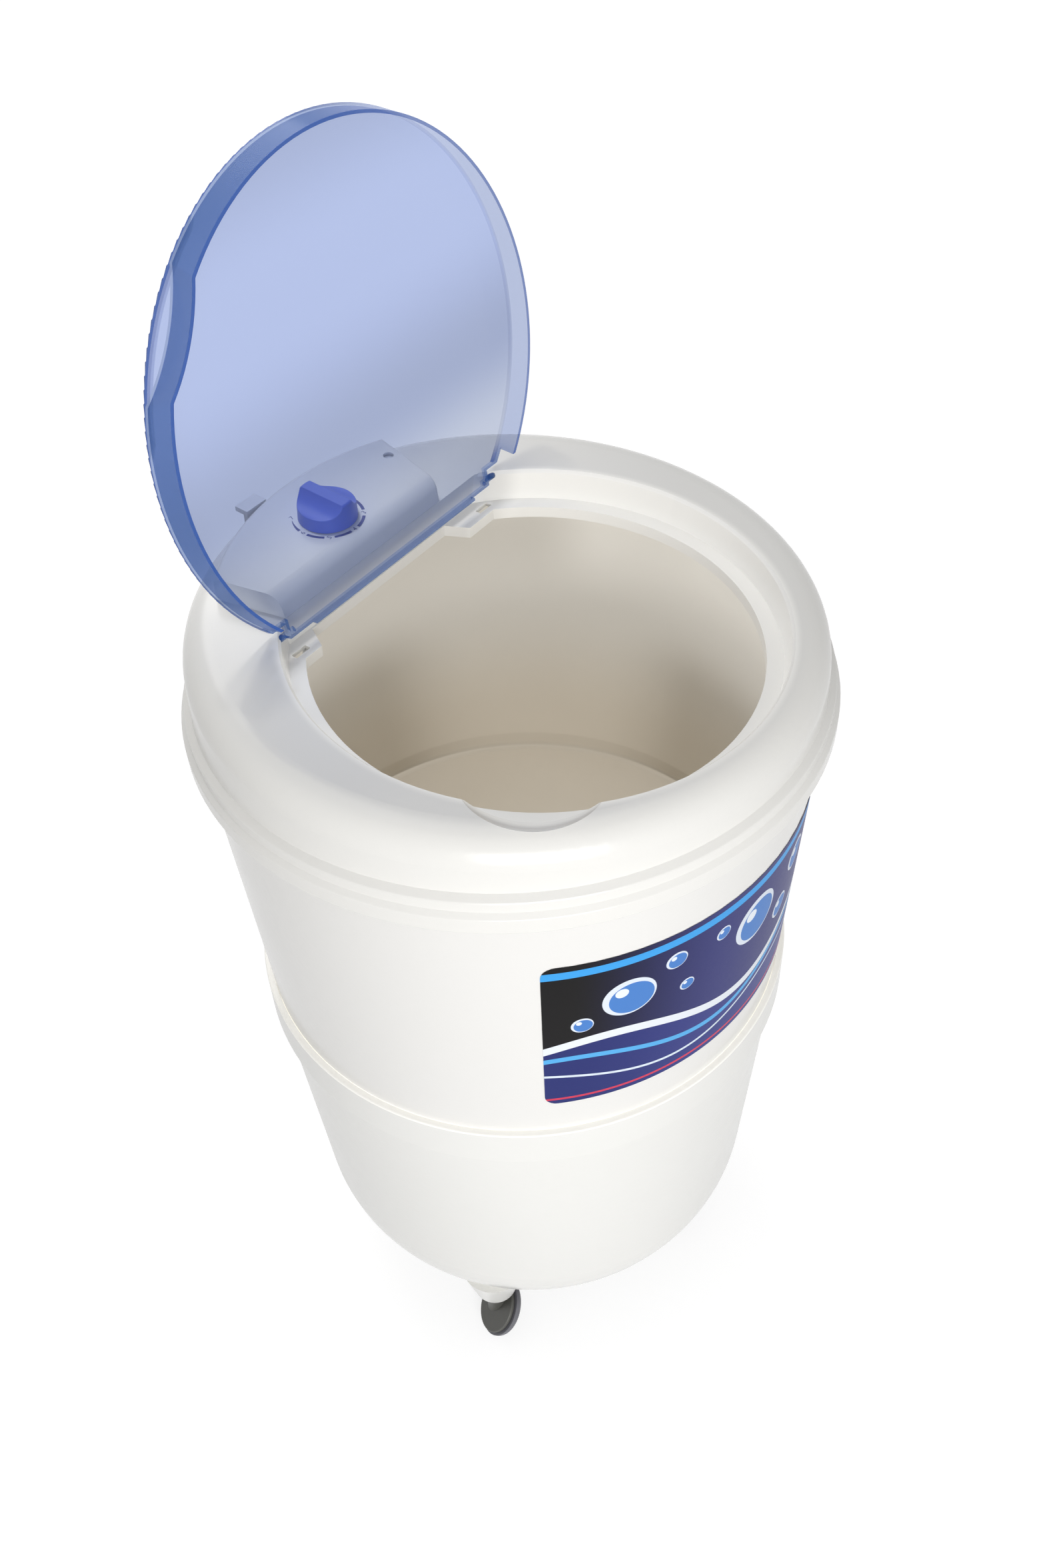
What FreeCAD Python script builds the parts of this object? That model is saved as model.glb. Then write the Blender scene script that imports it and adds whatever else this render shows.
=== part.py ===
import FreeCAD, Part
import math
import os
import re
import Sketcher

# A round top-loading washing machine: base with casters, wash tub, slanted collar, panel and lid.
# The origin lies on the floor under the tub's axis, +Z is up and the front is -Y.

doc = FreeCAD.newDocument("washing_machine")
sheet = doc.addObject("Spreadsheet::Sheet", "dims")

# Driving dimensions in millimetres and degrees
SIZES = {
    # shared
    "wall": 3.0,
    "fit_gap": 0.3,
    "running_gap": 0.05,
    "cut_over": 12.0,
    # tub
    "tub_foot": 400.0,
    "tub_skirt": 19.0,
    "tub_top": 702.0,
    "tub_foot_radius": 214.1,
    "tub_top_radius": 230.5,
    "tub_floor_thick": 4.0,
    "tub_floor_round": 6.0,
    "tub_screw_bite": 3.0,
    "wire_notch_width": 10.0,
    "wire_notch_drop": 9.0,
    # base
    "base_bottom": 62.0,
    "base_wall": 3.5,
    "base_taper": 19.4,
    "base_round": 106.0,
    "band_drop": 16.0,
    "band_set_out": 2.1,
    "band_step": 3.0,
    "rim_step": 6.9,
    "rim_lap": 22.0,
    "rim_round": 1.2,
    "seam_gap": 0.35,
    "shelf_lap": 2.0,
    "access_radius": 70.0,
    # collar
    "collar_rise": 52.5,
    "top_tilt": 2.84,
    "flange_step": 7.5,
    "flange_lap": 23.0,
    "flange_height": 13.0,
    "ridge_step": 4.0,
    "ridge_rise": 12.0,
    "ridge_slope": 4.0,
    "collar_set_in": 1.3,
    "collar_draft": 3.2,
    "collar_overrun": 65.0,
    "collar_round": 24.0,
    "ridge_round": 1.6,
    # mouth and rabbet
    "mouth_y": -27.0,
    "rabbet_margin": 53.5,
    "rabbet_draft": 3.5,
    "rabbet_depth": 23.7,
    "chord_margin": 118.5,
    "flare_set_back": 0.8,
    "flare_reach": 4.0,
    "flare_height": 3.0,
    "flare_chord_back": 1.0,
    "ledge_width": 15.4,
    "lip_depth": 33.0,
    "lug_reach": 19.0,
    "gap_left": 82.0,
    "gap_right": 69.0,
    "gap_flare": 13.0,
    "gap_back": 1.5,
    "slot_x": 98.0,
    "slot_length": 14.0,
    "slot_width": 5.0,
    "slot_depth": 4.0,
    "notch_angle": 215.0,
    "notch_ball": 62.0,
    "notch_set_in": 11.6,
    "notch_rise": 38.0,
    # lid
    "hinge_back": 8.5,
    "hinge_drop": 3.4,
    "hinge_pin": 2.4,
    "hinge_side_gap": 6.6,
    "hinge_pin_reach": 10.6,
    "lid_open": 101.0,
    "lid_gap": 1.0,
    "lid_plate": 2.5,
    "lid_skirt": 2.2,
    "lid_skirt_gap": 1.7,
    "lid_back_gap": 4.5,
    "lid_corner_run": 9.0,
    "lid_hinge_skirt": 6.5,
    "lid_hinge_run": 18.0,
    "lid_skirt_half": 90.0,
    "lid_round": 1.6,
    "grip_width": 110.0,
    "grip_depth": 12.0,
    # panel
    "panel_left": 104.0,
    "panel_right": 68.0,
    "panel_splay": 24.0,
    "panel_set_back": 0.5,
    "panel_slope": 4.0,
    "panel_rise": 18.0,
    "panel_margin": 27.5,
    "panel_wall": 2.5,
    "panel_round": 4.0,
    "panel_crest_round": 12.0,
    "panel_back_zone": 56.0,
    "panel_screw_x": 70.0,
    "screw_set_back": 52.0,
    "screw_radius": 2.0,
    "screw_head": 3.8,
    "screw_head_thick": 2.4,
    "screw_length": 16.0,
    # knob and timer
    "knob_x": -15.0,
    "knob_set_back": 38.0,
    "knob_radius": 22.0,
    "knob_top_radius": 21.12,
    "knob_height": 10.5,
    "knob_ridge": 9.0,
    "knob_ridge_width": 7.0,
    "knob_scoop": 15.0,
    "knob_round": 2.0,
    "knob_soft": 0.8,
    "knob_lift": 0.4,
    "timer_width": 46.0,
    "timer_depth": 40.0,
    "timer_height": 30.0,
    "timer_post": 8.5,
    "timer_post_radius": 4.0,
    "timer_neck": 6.0,
    "timer_shaft_radius": 3.0,
    "timer_shaft_hold": 9.0,
    "timer_shaft_rise": 8.0,
    "timer_screw_x": 14.0,
    "timer_screw_radius": 1.5,
    "timer_screw_head": 3.0,
    "timer_screw_head_thick": 1.4,
    "timer_screw_length": 16.0,
    # drive
    "shaft_radius": 8.0,
    "shaft_drop": 181.0,
    "shaft_rise": 17.0,
    "hub_hole": 24.0,
    "housing_flange_radius": 48.0,
    "housing_flange_thick": 8.0,
    "housing_radius": 28.0,
    "housing_bore": 14.0,
    "housing_length": 93.0,
    "housing_foot_radius": 40.0,
    "bush_length": 24.0,
    "seal_length": 7.0,
    "bolt_radius": 3.0,
    "bolt_head": 5.0,
    "bolt_head_thick": 4.0,
    "housing_bolt_circle": 38.0,
    "bracket_bolt_circle": 33.0,
    "pulsator_radius": 88.0,
    "pulsator_lift": 4.0,
    "pulsator_thick": 5.0,
    "pulsator_hub_radius": 17.0,
    "pulsator_hub_height": 24.0,
    "pulsator_root_radius": 27.2,
    "pulsator_root_height": 10.0,
    "pulsator_screw_head": 10.0,
    "vane_height": 12.0,
    "vane_width": 6.0,
    "vane_end": 8.0,
    "vane_count": 6,
    "pulley_lift": 23.0,
    "pulley_width": 20.0,
    "pulley_hub_radius": 18.0,
    "pulley_hub_height": 26.0,
    "groove_width": 9.0,
    "belt_width": 8.0,
    "belt_thick": 8.0,
    "belt_gap": 0.4,
    "driven_pitch": 58.0,
    "motor_pitch": 21.0,
    "motor_hub_radius": 16.0,
    "motor_hub_height": 20.2,
    "nut_radius": 13.0,
    "nut_height": 8.0,
    # motor
    "motor_y": 95.0,
    "motor_radius": 58.0,
    "motor_height": 117.0,
    "motor_shaft_radius": 6.0,
    "motor_shaft_hold": 20.0,
    "motor_bolt_offset": 38.0,
    "motor_bolt_length": 26.0,
    "terminal_width": 30.0,
    "terminal_reach": 10.0,
    "terminal_height": 26.0,
    "terminal_drop": 52.0,
    "bracket_thick": 4.0,
    "bracket_half_width": 70.0,
    "bracket_front": 60.0,
    "bracket_back": 160.0,
    "capacitor_x": -46.0,
    "capacitor_y": -36.0,
    "capacitor_radius": 16.0,
    "capacitor_height": 58.0,
    "capacitor_stud": 4.0,
    "capacitor_nut": 8.0,
    # drain
    "drain_x": -70.0,
    "drain_y": 140.0,
    "drain_bore": 10.5,
    "drain_tube": 14.0,
    "drain_flange": 24.0,
    "drain_flange_thick": 4.0,
    "gasket_thick": 2.0,
    "drain_drop": 38.0,
    "spigot_reach": 21.9,
    "spigot_radius": 13.0,
    "spigot_length": 30.0,
    "strainer_radius": 22.0,
    "strainer_thick": 2.5,
    "strainer_hole": 2.5,
    "strainer_circle": 6.0,
    # cable duct, gland and hook
    "duct_width": 28.0,
    "duct_wall": 2.0,
    "duct_depth": 7.0,
    "duct_least": 14.0,
    "duct_drop": 39.0,
    "wire_radius": 2.5,
    "wire_start_drop": 24.0,
    "wire_first_run": 34.0,
    "wire_turn_in": 8.5,
    "wire_gap": 3.4,
    "wire_bend": 19.0,
    "wire_rise": 14.0,
    "wire_set_in": 26.0,
    "gland_level": 250.0,
    "gland_radius": 7.0,
    "gland_bore": 4.0,
    "gland_flange": 11.0,
    "gland_flange_thick": 4.0,
    "gland_length": 22.0,
    "hook_x": -36.0,
    "hook_width": 20.0,
    "hook_thick": 4.0,
    "hook_rise": 17.0,
    "hook_reach": 8.0,
    # bottom cover
    "bottom_cover_radius": 86.0,
    "bottom_cover_thick": 3.0,
    "bottom_screw_circle": 78.0,
    # casters
    "caster_circle": 158.0,
    "caster_phase": 202.0,
    "boss_tip": 20.0,
    "boss_root": 30.0,
    "boss_height": 40.0,
    "stem_radius": 5.0,
    "stem_in_boss": 28.0,
    "stem_in_hood": 14.0,
    "neck_radius": 9.5,
    "axle_tilt": 51.3,
    "hood_side": 2.3,
    "hood_trail": 4.1,
    "hood_radius": 25.0,
    "hood_thick": 4.0,
    "hood_round": 1.2,
    "wheel_gap": 0.5,
    "wheel_radius": 27.5,
    "wheel_thick": 8.0,
    "wheel_round": 6.0,
    "axle_radius": 2.5,
    "axle_bite": 3.0,
    "caster_turn_1": 137.6,
    "caster_turn_2": 85.0,
    "caster_turn_3": 40.0,
    "caster_turn_4": 250.0,
}
for row, (alias, number) in enumerate(SIZES.items(), start=1):
    sheet.set(f"A{row}", alias)
    sheet.set(f"B{row}", str(number))
    sheet.setAlias(f"B{row}", alias)
doc.recompute()

# Sizes that follow from the driving ones, each named by a neighbour and a clearance or step
FOLLOWING = {
    "tub_floor": "tub_foot + tub_skirt",
    "rim_top": "tub_foot + rim_lap",
    "rim_radius": "tub_foot_radius + rim_step",
    "band_foot": "tub_foot - band_drop",
    "band_foot_radius": "tub_foot_radius + band_set_out",
    "base_foot_radius": "tub_foot_radius - base_taper",
    "top_height": "tub_top + collar_rise",
    "flange_bottom": "tub_top - flange_lap",
    "flange_radius": "tub_top_radius + flange_step",
    "ridge_radius": "tub_top_radius + ridge_step",
    "collar_foot_radius": "tub_top_radius - collar_set_in",
    "collar_top_radius": "collar_foot_radius - collar_draft",
    "rabbet_radius": "tub_top_radius - rabbet_margin",
    "rabbet_chord": "tub_top_radius - chord_margin",
    "lip_radius": "rabbet_radius - ledge_width",
    "lip_chord": "rabbet_chord - lug_reach",
    "notch_reach": "lip_radius - notch_set_in",
    "hinge_y": "rabbet_chord - hinge_back",
    "lid_chord": "rabbet_chord - lid_back_gap",
    "panel_front": "rabbet_chord + panel_set_back",
    "panel_crest": "panel_front + panel_slope",
    "panel_back_radius": "tub_top_radius - panel_margin",
    "panel_screw_y": "rabbet_chord + screw_set_back",
    "knob_y": "rabbet_chord + knob_set_back",
    "housing_bottom": "tub_floor - housing_length",
    "shaft_bottom": "housing_bottom - shaft_drop",
    "pulley_middle": "shaft_bottom + pulley_lift",
    "drain_level": "tub_foot - drain_drop",
    "spigot_end": "tub_foot_radius + spigot_reach",
    "duct_back": "max(tub_top_radius + duct_depth, rim_radius + duct_least)",
    "duct_bottom": "band_foot - duct_drop",
    "wheel_deep": "hood_thick + wheel_gap + wheel_thick",
    "wheel_rim": "(wheel_radius - wheel_round) * sin(axle_tilt) + wheel_round",
    "hood_level": "wheel_rim + (wheel_deep - wheel_round) * cos(axle_tilt)",
}
TUB_DRAFT = "((tub_top_radius - tub_foot_radius) / (tub_top - tub_foot))"
TUB_UNDERSIDE = "(tub_floor - tub_floor_thick)"
BASE_DRAFT = "((band_foot_radius - base_foot_radius) / (band_foot - base_bottom))"
BRACKET_TOP = "housing_bottom"
MOTOR_TOP = "(housing_bottom - bracket_thick)"
MOTOR_BOTTOM = "(housing_bottom - bracket_thick - motor_height)"
SHAFT_TOP = "(tub_floor + shaft_rise)"
NOTCH_ALONG = ("cos(notch_angle)", "sin(notch_angle)")


def expr(text):
    """Point each size named in an expression at its cell, or at those that it follows from."""
    def cell(match):
        name = match[0]
        if name in FOLLOWING:
            return f"({expr(FOLLOWING[name])})"
        return "dims." + name if name in SIZES else name

    return re.sub(r"[a-z]\w*", cell, str(text))


def size(text):
    """The number that an expression of sizes gives."""
    return float(sheet.evalExpression(expr(text)))


def tub_outside(level):
    return f"(tub_foot_radius + ({level} - tub_foot) * {TUB_DRAFT})"


def base_outside(level):
    return f"(base_foot_radius + ({level} - base_bottom) * {BASE_DRAFT})"


def bind(obj, **properties):
    for name, text in properties.items():
        obj.setExpression(name, expr(text))
    return obj


def place(obj, at, axis=None, turn=0):
    """Stand a primitive at a point, with a turn about an axis."""
    if axis:
        obj.Placement = FreeCAD.Placement(FreeCAD.Vector(),
                                          FreeCAD.Rotation(FreeCAD.Vector(*axis), size(turn)))
        obj.setExpression("Placement.Rotation.Angle", expr(turn))
    for letter, text in zip("xyz", at):
        obj.setExpression(f"Placement.Base.{letter}", expr(text))
    return obj


def box(name, low, spans):
    obj = bind(doc.addObject("Part::Box", name), Length=spans[0], Width=spans[1], Height=spans[2])
    return place(obj, low)


def cylinder(name, radius, height, at=(0, 0, 0), axis=None, turn=0):
    obj = bind(doc.addObject("Part::Cylinder", name), Radius=radius, Height=height)
    return place(obj, at, axis, turn)


def along_y(name, radius, height, at):
    return cylinder(name, radius, height, at, (1, 0, 0), -90)


def along_x(name, radius, height, at):
    return cylinder(name, radius, height, at, (0, 1, 0), 90)


def cone(name, low_radius, high_radius, height, at=(0, 0, 0)):
    obj = bind(doc.addObject("Part::Cone", name), Radius1=low_radius, Radius2=high_radius, Height=height)
    return place(obj, at)


def sphere(name, radius, at):
    return place(bind(doc.addObject("Part::Sphere", name), Radius=radius), at)


def fuse(name, *pieces):
    obj = doc.addObject("Part::MultiFuse", name)
    obj.Shapes = list(pieces)
    return obj


def common(name, *pieces):
    obj = doc.addObject("Part::MultiCommon", name)
    obj.Shapes = list(pieces)
    return obj


def cut(name, base, *tools):
    obj = doc.addObject("Part::Cut", name)
    obj.Base = base
    obj.Tool = tools[0] if len(tools) == 1 else fuse(name + "_tools", *tools)
    return obj


def group(name, *pieces):
    """Separate solids that share one node."""
    obj = doc.addObject("Part::Compound", name)
    obj.Links = list(pieces)
    return obj


def plane_of(body, role):
    return next(item for item in body.Origin.OriginFeatures if item.Role == role)


def outline(body, role, points):
    """A closed outline of straight sides whose corners are tied to the sheet."""
    sketch = body.newObject("Sketcher::SketchObject", body.Name + "_outline")
    sketch.AttachmentSupport = (plane_of(body, role), [""])
    sketch.MapMode = "FlatFace"
    corners = [FreeCAD.Vector(size(u), size(v), 0) for u, v in points]
    count = len(corners)
    for index in range(count):
        sketch.addGeometry(Part.LineSegment(corners[index], corners[(index + 1) % count]))
    for index in range(count):
        sketch.addConstraint(Sketcher.Constraint("Coincident", index, 2, (index + 1) % count, 1))
    for index, (u, v) in enumerate(points):
        corner = corners[index]
        for kind, axis, text, value in (("DistanceX", -2, u, corner.x), ("DistanceY", -1, v, corner.y)):
            if abs(value) < 1e-9:
                sketch.addConstraint(Sketcher.Constraint("PointOnObject", index, 1, axis))
                continue
            ends = (-1, 1, index, 1) if value > 0 else (index, 1, -1, 1)
            number = sketch.addConstraint(Sketcher.Constraint(kind, *ends, abs(value)))
            sketch.setExpression(f"Constraints[{number}]", expr(text if value > 0 else f"-({text})"))
    return sketch


def revolve(name, points):
    """A body of revolution about Z from an outline of radius and height."""
    body = doc.addObject("PartDesign::Body", name)
    turned = body.newObject("PartDesign::Revolution", name + "_turned")
    turned.Profile = outline(body, "XZ_Plane", points)
    turned.ReferenceAxis = (turned.Profile[0], ["V_Axis"])
    turned.Angle = 360
    doc.recompute()
    return body


def prism(name, role, points, length):
    body = doc.addObject("PartDesign::Body", name)
    pad = body.newObject("PartDesign::Pad", name + "_pad")
    pad.Profile = outline(body, role, points)
    bind(pad, Length=length)
    doc.recompute()
    return body


def round_rings(body, radius, *corners):
    """Round the circular edges of a turned body at the given radius and height."""
    last = body.Tip
    spots = [(size(r), size(z)) for r, z in corners]
    names = []
    for number, edge in enumerate(last.Shape.Edges, start=1):
        curve = edge.Curve
        if isinstance(curve, Part.Circle):
            for r, z in spots:
                if abs(curve.Radius - r) < 0.01 and abs(curve.Center.z - z) < 0.01:
                    names.append(f"Edge{number}")
    fillet = body.newObject("PartDesign::Fillet", f"{body.Name}_round_{len(body.Group)}")
    fillet.Base = (last, names)
    bind(fillet, Radius=radius)
    doc.recompute()
    return body


def round_ridge(body, radius, y, z):
    """Round the edge of a prism that runs along X at the given point."""
    last = body.Tip
    y, z = size(y), size(z)
    names = [f"Edge{n}" for n, edge in enumerate(last.Shape.Edges, start=1)
             if all(abs(v.Y - y) < 0.01 and abs(v.Z - z) < 0.01 for v in edge.Vertexes)]
    fillet = body.newObject("PartDesign::Fillet", body.Name + "_ridge")
    fillet.Base = (last, names)
    bind(fillet, Radius=radius)
    doc.recompute()
    return body


def round_edges(name, base, radius, wanted):
    """Round the edges of a solid that the test picks."""
    doc.recompute()
    obj = doc.addObject("Part::Fillet", name)
    obj.Base = base
    reach = size(radius)
    numbers = [n for n, edge in enumerate(base.Shape.Edges, start=1) if wanted(edge)]
    obj.Edges = [(n, reach, reach) for n in numbers]
    doc.recompute()
    return obj


def on_top(obj):
    """Stand a piece that is modelled on the level top plane on the slanted one."""
    return place(obj, (0, 0, "top_height"), (1, 0, 0), "top_tilt")


def top_at(x, y, h):
    """A point on the slanted top, as seen from the floor's frame."""
    return (x, f"({y}) * cos(top_tilt) - ({h}) * sin(top_tilt)",
            f"top_height + ({y}) * sin(top_tilt) + ({h}) * cos(top_tilt)")


def d_solid(name, low_radius, high_radius, low, high, chord, center="mouth_y"):
    """A round plug with a straight back edge."""
    height = f"{high} - ({low})"
    span = f"2 * ({high_radius} + {low_radius})"
    plug = cone(name + "_round", low_radius, high_radius, height, (0, center, low))
    half = box(name + "_half", (f"-({span}) / 2", f"{chord} - ({span})", low), (span, span, height))
    return common(name, plug, half)


def ring(name, radius, bore, height, at):
    return cut(name, cylinder(name + "_outer", radius, height, at),
               cylinder(name + "_bore", bore, height, at))


def headed(name, radius, length, head, thick, at, up=True):
    """A screw with its head's seat at the point, its shank under the head if up, over it if not."""
    x, y, z = at
    shank_low = f"({z}) - ({length})" if up else z
    head_low = z if up else f"({z}) - ({thick})"
    return fuse(name, cylinder(name + "_shank", radius, length, (x, y, shank_low)),
                cylinder(name + "_head", head, thick, (x, y, head_low)))


def circle_spots(circle, count, first):
    """Points spaced evenly on a circle, as expressions."""
    angles = [first + 360 / count * number for number in range(count)]
    return [(f"{circle} * cos({a})", f"{circle} * sin({a})") for a in angles]


nodes = {}


def node(name, obj):
    obj.Label = name
    nodes[name] = obj
    return obj


# Tub: a tapered wall with a floor, a skirt under it, and holes for the drive, the drain and the wires
wall_in = f"({tub_outside('tub_floor')} - wall)"
under_in = f"({tub_outside(TUB_UNDERSIDE)} - wall)"
tub_shell = revolve("tub_shell", [
    ("hub_hole", "tub_floor"), (wall_in, "tub_floor"), ("tub_top_radius - wall", "tub_top"),
    ("tub_top_radius", "tub_top"), ("tub_foot_radius", "tub_foot"), ("tub_foot_radius - wall", "tub_foot"),
    (under_in, TUB_UNDERSIDE), ("hub_hole", TUB_UNDERSIDE)])
round_rings(tub_shell, "tub_floor_round", (wall_in, "tub_floor"))
drain_hole = cylinder("drain_hole", "drain_tube", "tub_floor_thick", ("drain_x", "drain_y", TUB_UNDERSIDE))
wire_notch = box("wire_notch",
                 ("-wire_notch_width / 2", "tub_top_radius - cut_over", "flange_bottom - wire_notch_drop"),
                 ("wire_notch_width", "2 * cut_over",
                  "tub_top - flange_bottom + wire_notch_drop + cut_over"))
housing_holes = [
    cylinder(f"housing_hole_{n}", "bolt_radius", "tub_screw_bite", (x, y, TUB_UNDERSIDE))
    for n, (x, y) in enumerate(circle_spots("housing_bolt_circle", 4, 45))]
node("tub", cut("tub_cut", tub_shell, drain_hole, wire_notch, *housing_holes))

# Base: a bowl with a lip round the tub's foot, a shelf that carries it, caster bosses and an access hole
lip_in = f"({tub_outside('rim_top')} + seam_gap)"
shelf_in = "(tub_foot_radius - shelf_lap)"
base_outer = [("base_foot_radius", "base_bottom"), ("band_foot_radius", "band_foot"),
              ("rim_radius", "band_foot + band_step"), ("rim_radius", "rim_top")]
base_shell = revolve("base_shell", [("access_radius", "base_bottom")] + base_outer + [
    (lip_in, "rim_top"), (lip_in, "tub_foot"), (shelf_in, "tub_foot"),
    (shelf_in, "band_foot"), ("base_foot_radius - base_wall", "base_bottom + base_wall"),
    ("access_radius", "base_bottom + base_wall")])
round_rings(base_shell, "base_round", ("base_foot_radius", "base_bottom"))
round_rings(base_shell, "base_round - base_wall",
            ("base_foot_radius - base_wall", "base_bottom + base_wall"))
round_rings(base_shell, "rim_round", ("rim_radius", "rim_top"))
CASTER_ANGLES = [f"caster_phase + {90 * n}" for n in range(4)]
caster_spots = [(f"caster_circle * cos({a})", f"caster_circle * sin({a})") for a in CASTER_ANGLES]
bosses = [cone(f"boss_{n}", "boss_tip", "boss_root", "boss_height", (x, y, "base_bottom"))
          for n, (x, y) in enumerate(caster_spots)]
stem_holes = [
    cylinder(f"stem_hole_{n}", "stem_radius + running_gap", "stem_in_boss + fit_gap", (x, y, "base_bottom"))
    for n, (x, y) in enumerate(caster_spots)]
bottom_spots = circle_spots("bottom_screw_circle", 4, 45)
bottom_holes = [cylinder(f"bottom_hole_{n}", "screw_radius", "base_wall", (x, y, "base_bottom"))
                for n, (x, y) in enumerate(bottom_spots)]
spigot_hole = along_y("spigot_hole", "drain_tube + fit_gap", "rim_radius - drain_y",
                      ("drain_x", "drain_y", "drain_level"))
gland_hole = along_y("gland_hole", "gland_radius", "rim_radius", (0, 0, "gland_level"))
wire_hole = box("wire_hole",
                ("-wire_notch_width / 2", "tub_foot_radius - 2 * cut_over", "duct_bottom + duct_wall"),
                ("wire_notch_width", "3 * cut_over", "band_foot - duct_bottom - duct_wall"))
node("base",
     cut("base_cut", fuse("base_with_bosses", base_shell, *bosses), spigot_hole, gland_hole, wire_hole,
                 *stem_holes, *bottom_holes))

# Collar: a shell under a slanted top, with a rabbet, a ledge and a lip round the mouth
ridge_top = "(flange_bottom + flange_height + ridge_rise)"
collar_end = f"({ridge_top} + ridge_slope + collar_overrun)"
inside_radius = "(tub_top_radius + fit_gap)"
collar_outside = revolve("collar_outside", [
    (0, "flange_bottom"), ("flange_radius", "flange_bottom"),
    ("flange_radius", "flange_bottom + flange_height"),
    ("ridge_radius", "flange_bottom + flange_height + ridge_slope"), ("ridge_radius", ridge_top),
    ("collar_foot_radius", f"{ridge_top} + ridge_slope"), ("collar_top_radius", collar_end),
    (0, collar_end)])
round_rings(collar_outside, "ridge_round", ("flange_radius", "flange_bottom"),
            ("flange_radius", "flange_bottom + flange_height"), ("ridge_radius", ridge_top))
collar_inside = revolve("collar_inside", [
    (0, "flange_bottom"), ("flange_radius - wall", "flange_bottom"),
    ("flange_radius - wall", "flange_bottom + flange_height - wall / 2"),
    (inside_radius, "flange_bottom + flange_height + wall / 2"), (inside_radius, "tub_top"),
    ("collar_foot_radius - wall", "tub_top"), ("collar_top_radius - wall", collar_end), (0, collar_end)])


def under_top(name, body, drop, radius):
    """Cut a turned body off at the slanted plane and round the edge."""
    span = "3 * flange_radius"
    above = box(name + "_above", (0, 0, 0), (span, span, "2 * collar_overrun + 4 * collar_round"))
    place(above, top_at(f"-({span}) / 2", f"-({span}) / 2", f"-({drop})"), (1, 0, 0), "top_tilt")
    trimmed = cut(name + "_trimmed", body, above)
    doc.recompute()
    top_face = max(trimmed.Shape.Faces, key=lambda face: face.CenterOfMass.z)
    rim = top_face.OuterWire.Edges
    return round_edges(name, trimmed, radius, lambda edge: any(edge.isSame(side) for side in rim))


collar_solid = under_top("collar_solid", collar_outside, "0", "collar_round")
collar_void = under_top("collar_void", collar_inside, "wall", "collar_round - wall")
rabbet_low = "rabbet_radius - rabbet_draft"
RABBET_SLOPE = "(rabbet_draft / rabbet_depth)"
collar_wall = d_solid("collar_wall", f"{rabbet_low} + wall", "rabbet_radius + wall",
                      "-rabbet_depth - wall", "0",
                      "rabbet_chord + wall")
lip_wall = d_solid("lip_wall", "lip_radius + wall", "lip_radius + wall", "-lip_depth", "-rabbet_depth",
                   "rabbet_chord + wall")
scoop_at = [f"notch_reach * {NOTCH_ALONG[0]}", f"mouth_y + notch_reach * {NOTCH_ALONG[1]}", "notch_rise"]
scoop_wall = sphere("scoop_wall", "notch_ball + wall", scoop_at)
mouth_block = on_top(fuse("mouth_block", collar_wall, lip_wall, scoop_wall))
collar_cavity = cut("collar_cavity", collar_void, mouth_block)
rabbet_hole = d_solid("rabbet_hole", rabbet_low, f"rabbet_radius + {RABBET_SLOPE} * collar_round",
                      "-rabbet_depth", "collar_round", "rabbet_chord")
rabbet_flare = d_solid("rabbet_flare", "rabbet_radius - flare_set_back", "rabbet_radius + flare_reach",
                       "-flare_height", "flare_height", "rabbet_chord - flare_chord_back")
mouth_hole = d_solid("mouth_hole", "lip_radius", "lip_radius", "-2 * lip_depth", "0", "lip_chord")
lug_gap = prism("lug_gap", "XY_Plane", [
    ("-gap_left - gap_flare", "lip_chord - gap_flare / 2"),
    ("gap_right + gap_flare", "lip_chord - gap_flare / 2"),
    ("gap_right", "rabbet_chord - gap_back"), ("-gap_left", "rabbet_chord - gap_back")], "2 * lip_depth")
place(lug_gap, (0, 0, "-2 * lip_depth"))
slots = [box(f"slot_{side}", (low, "lip_chord + slot_width", "-rabbet_depth - slot_depth"),
             ("slot_length", "slot_width", "slot_depth"))
         for side, low in (("left", "-slot_x - slot_length"), ("right", "slot_x"))]
scoop_hole = sphere("scoop_hole", "notch_ball", scoop_at)
hinge_bore = along_x("hinge_bore", "hinge_pin + running_gap", "2 * rabbet_radius",
                     ("-rabbet_radius", "hinge_y", "-hinge_drop"))
timer_window = box("timer_window",
                   ("knob_x - timer_width / 2 - wall", "knob_y - timer_depth / 2 - wall", "-2 * wall"),
                   ("timer_width + 2 * wall", "timer_depth + 2 * wall", "3 * wall"))
panel_pilot = cylinder("panel_pilot", "screw_radius", "3 * wall",
                       ("panel_screw_x", "panel_screw_y", "-2 * wall"))
mouth_void = on_top(fuse("mouth_void", rabbet_hole, rabbet_flare, mouth_hole, lug_gap, scoop_hole,
                         hinge_bore,
                         timer_window, panel_pilot, *slots))
collar_shell = cut("collar_shell", collar_solid, collar_cavity)
node("top_cover", cut("top_cover_cut", collar_shell, mouth_void))

# Lid: a see-through plate with a skirt, a set-back finger grip and two hinge pins, modelled about its hinge
lid_center = "(mouth_y - hinge_y)"
lid_edge = "(lid_chord - hinge_y)"
lid_top_radius = "(rabbet_radius - lid_gap)"
lid_low_radius = f"(rabbet_radius - lid_gap - {RABBET_SLOPE} * (rabbet_depth - lid_skirt_gap))"
lid_low = "(hinge_drop - rabbet_depth + lid_skirt_gap)"
lid_block = d_solid("lid_block", lid_low_radius, lid_top_radius, lid_low, "hinge_drop", lid_edge,
                    lid_center)
lid_face = size("hinge_drop") - 0.01
lid_plug = round_edges("lid_plug", lid_block, "lid_round", lambda edge: edge.BoundBox.ZMin > lid_face)
lid_side = f"(sqrt(rabbet_radius ^ 2 - {lid_center} ^ 2) - hinge_side_gap)"


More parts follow.
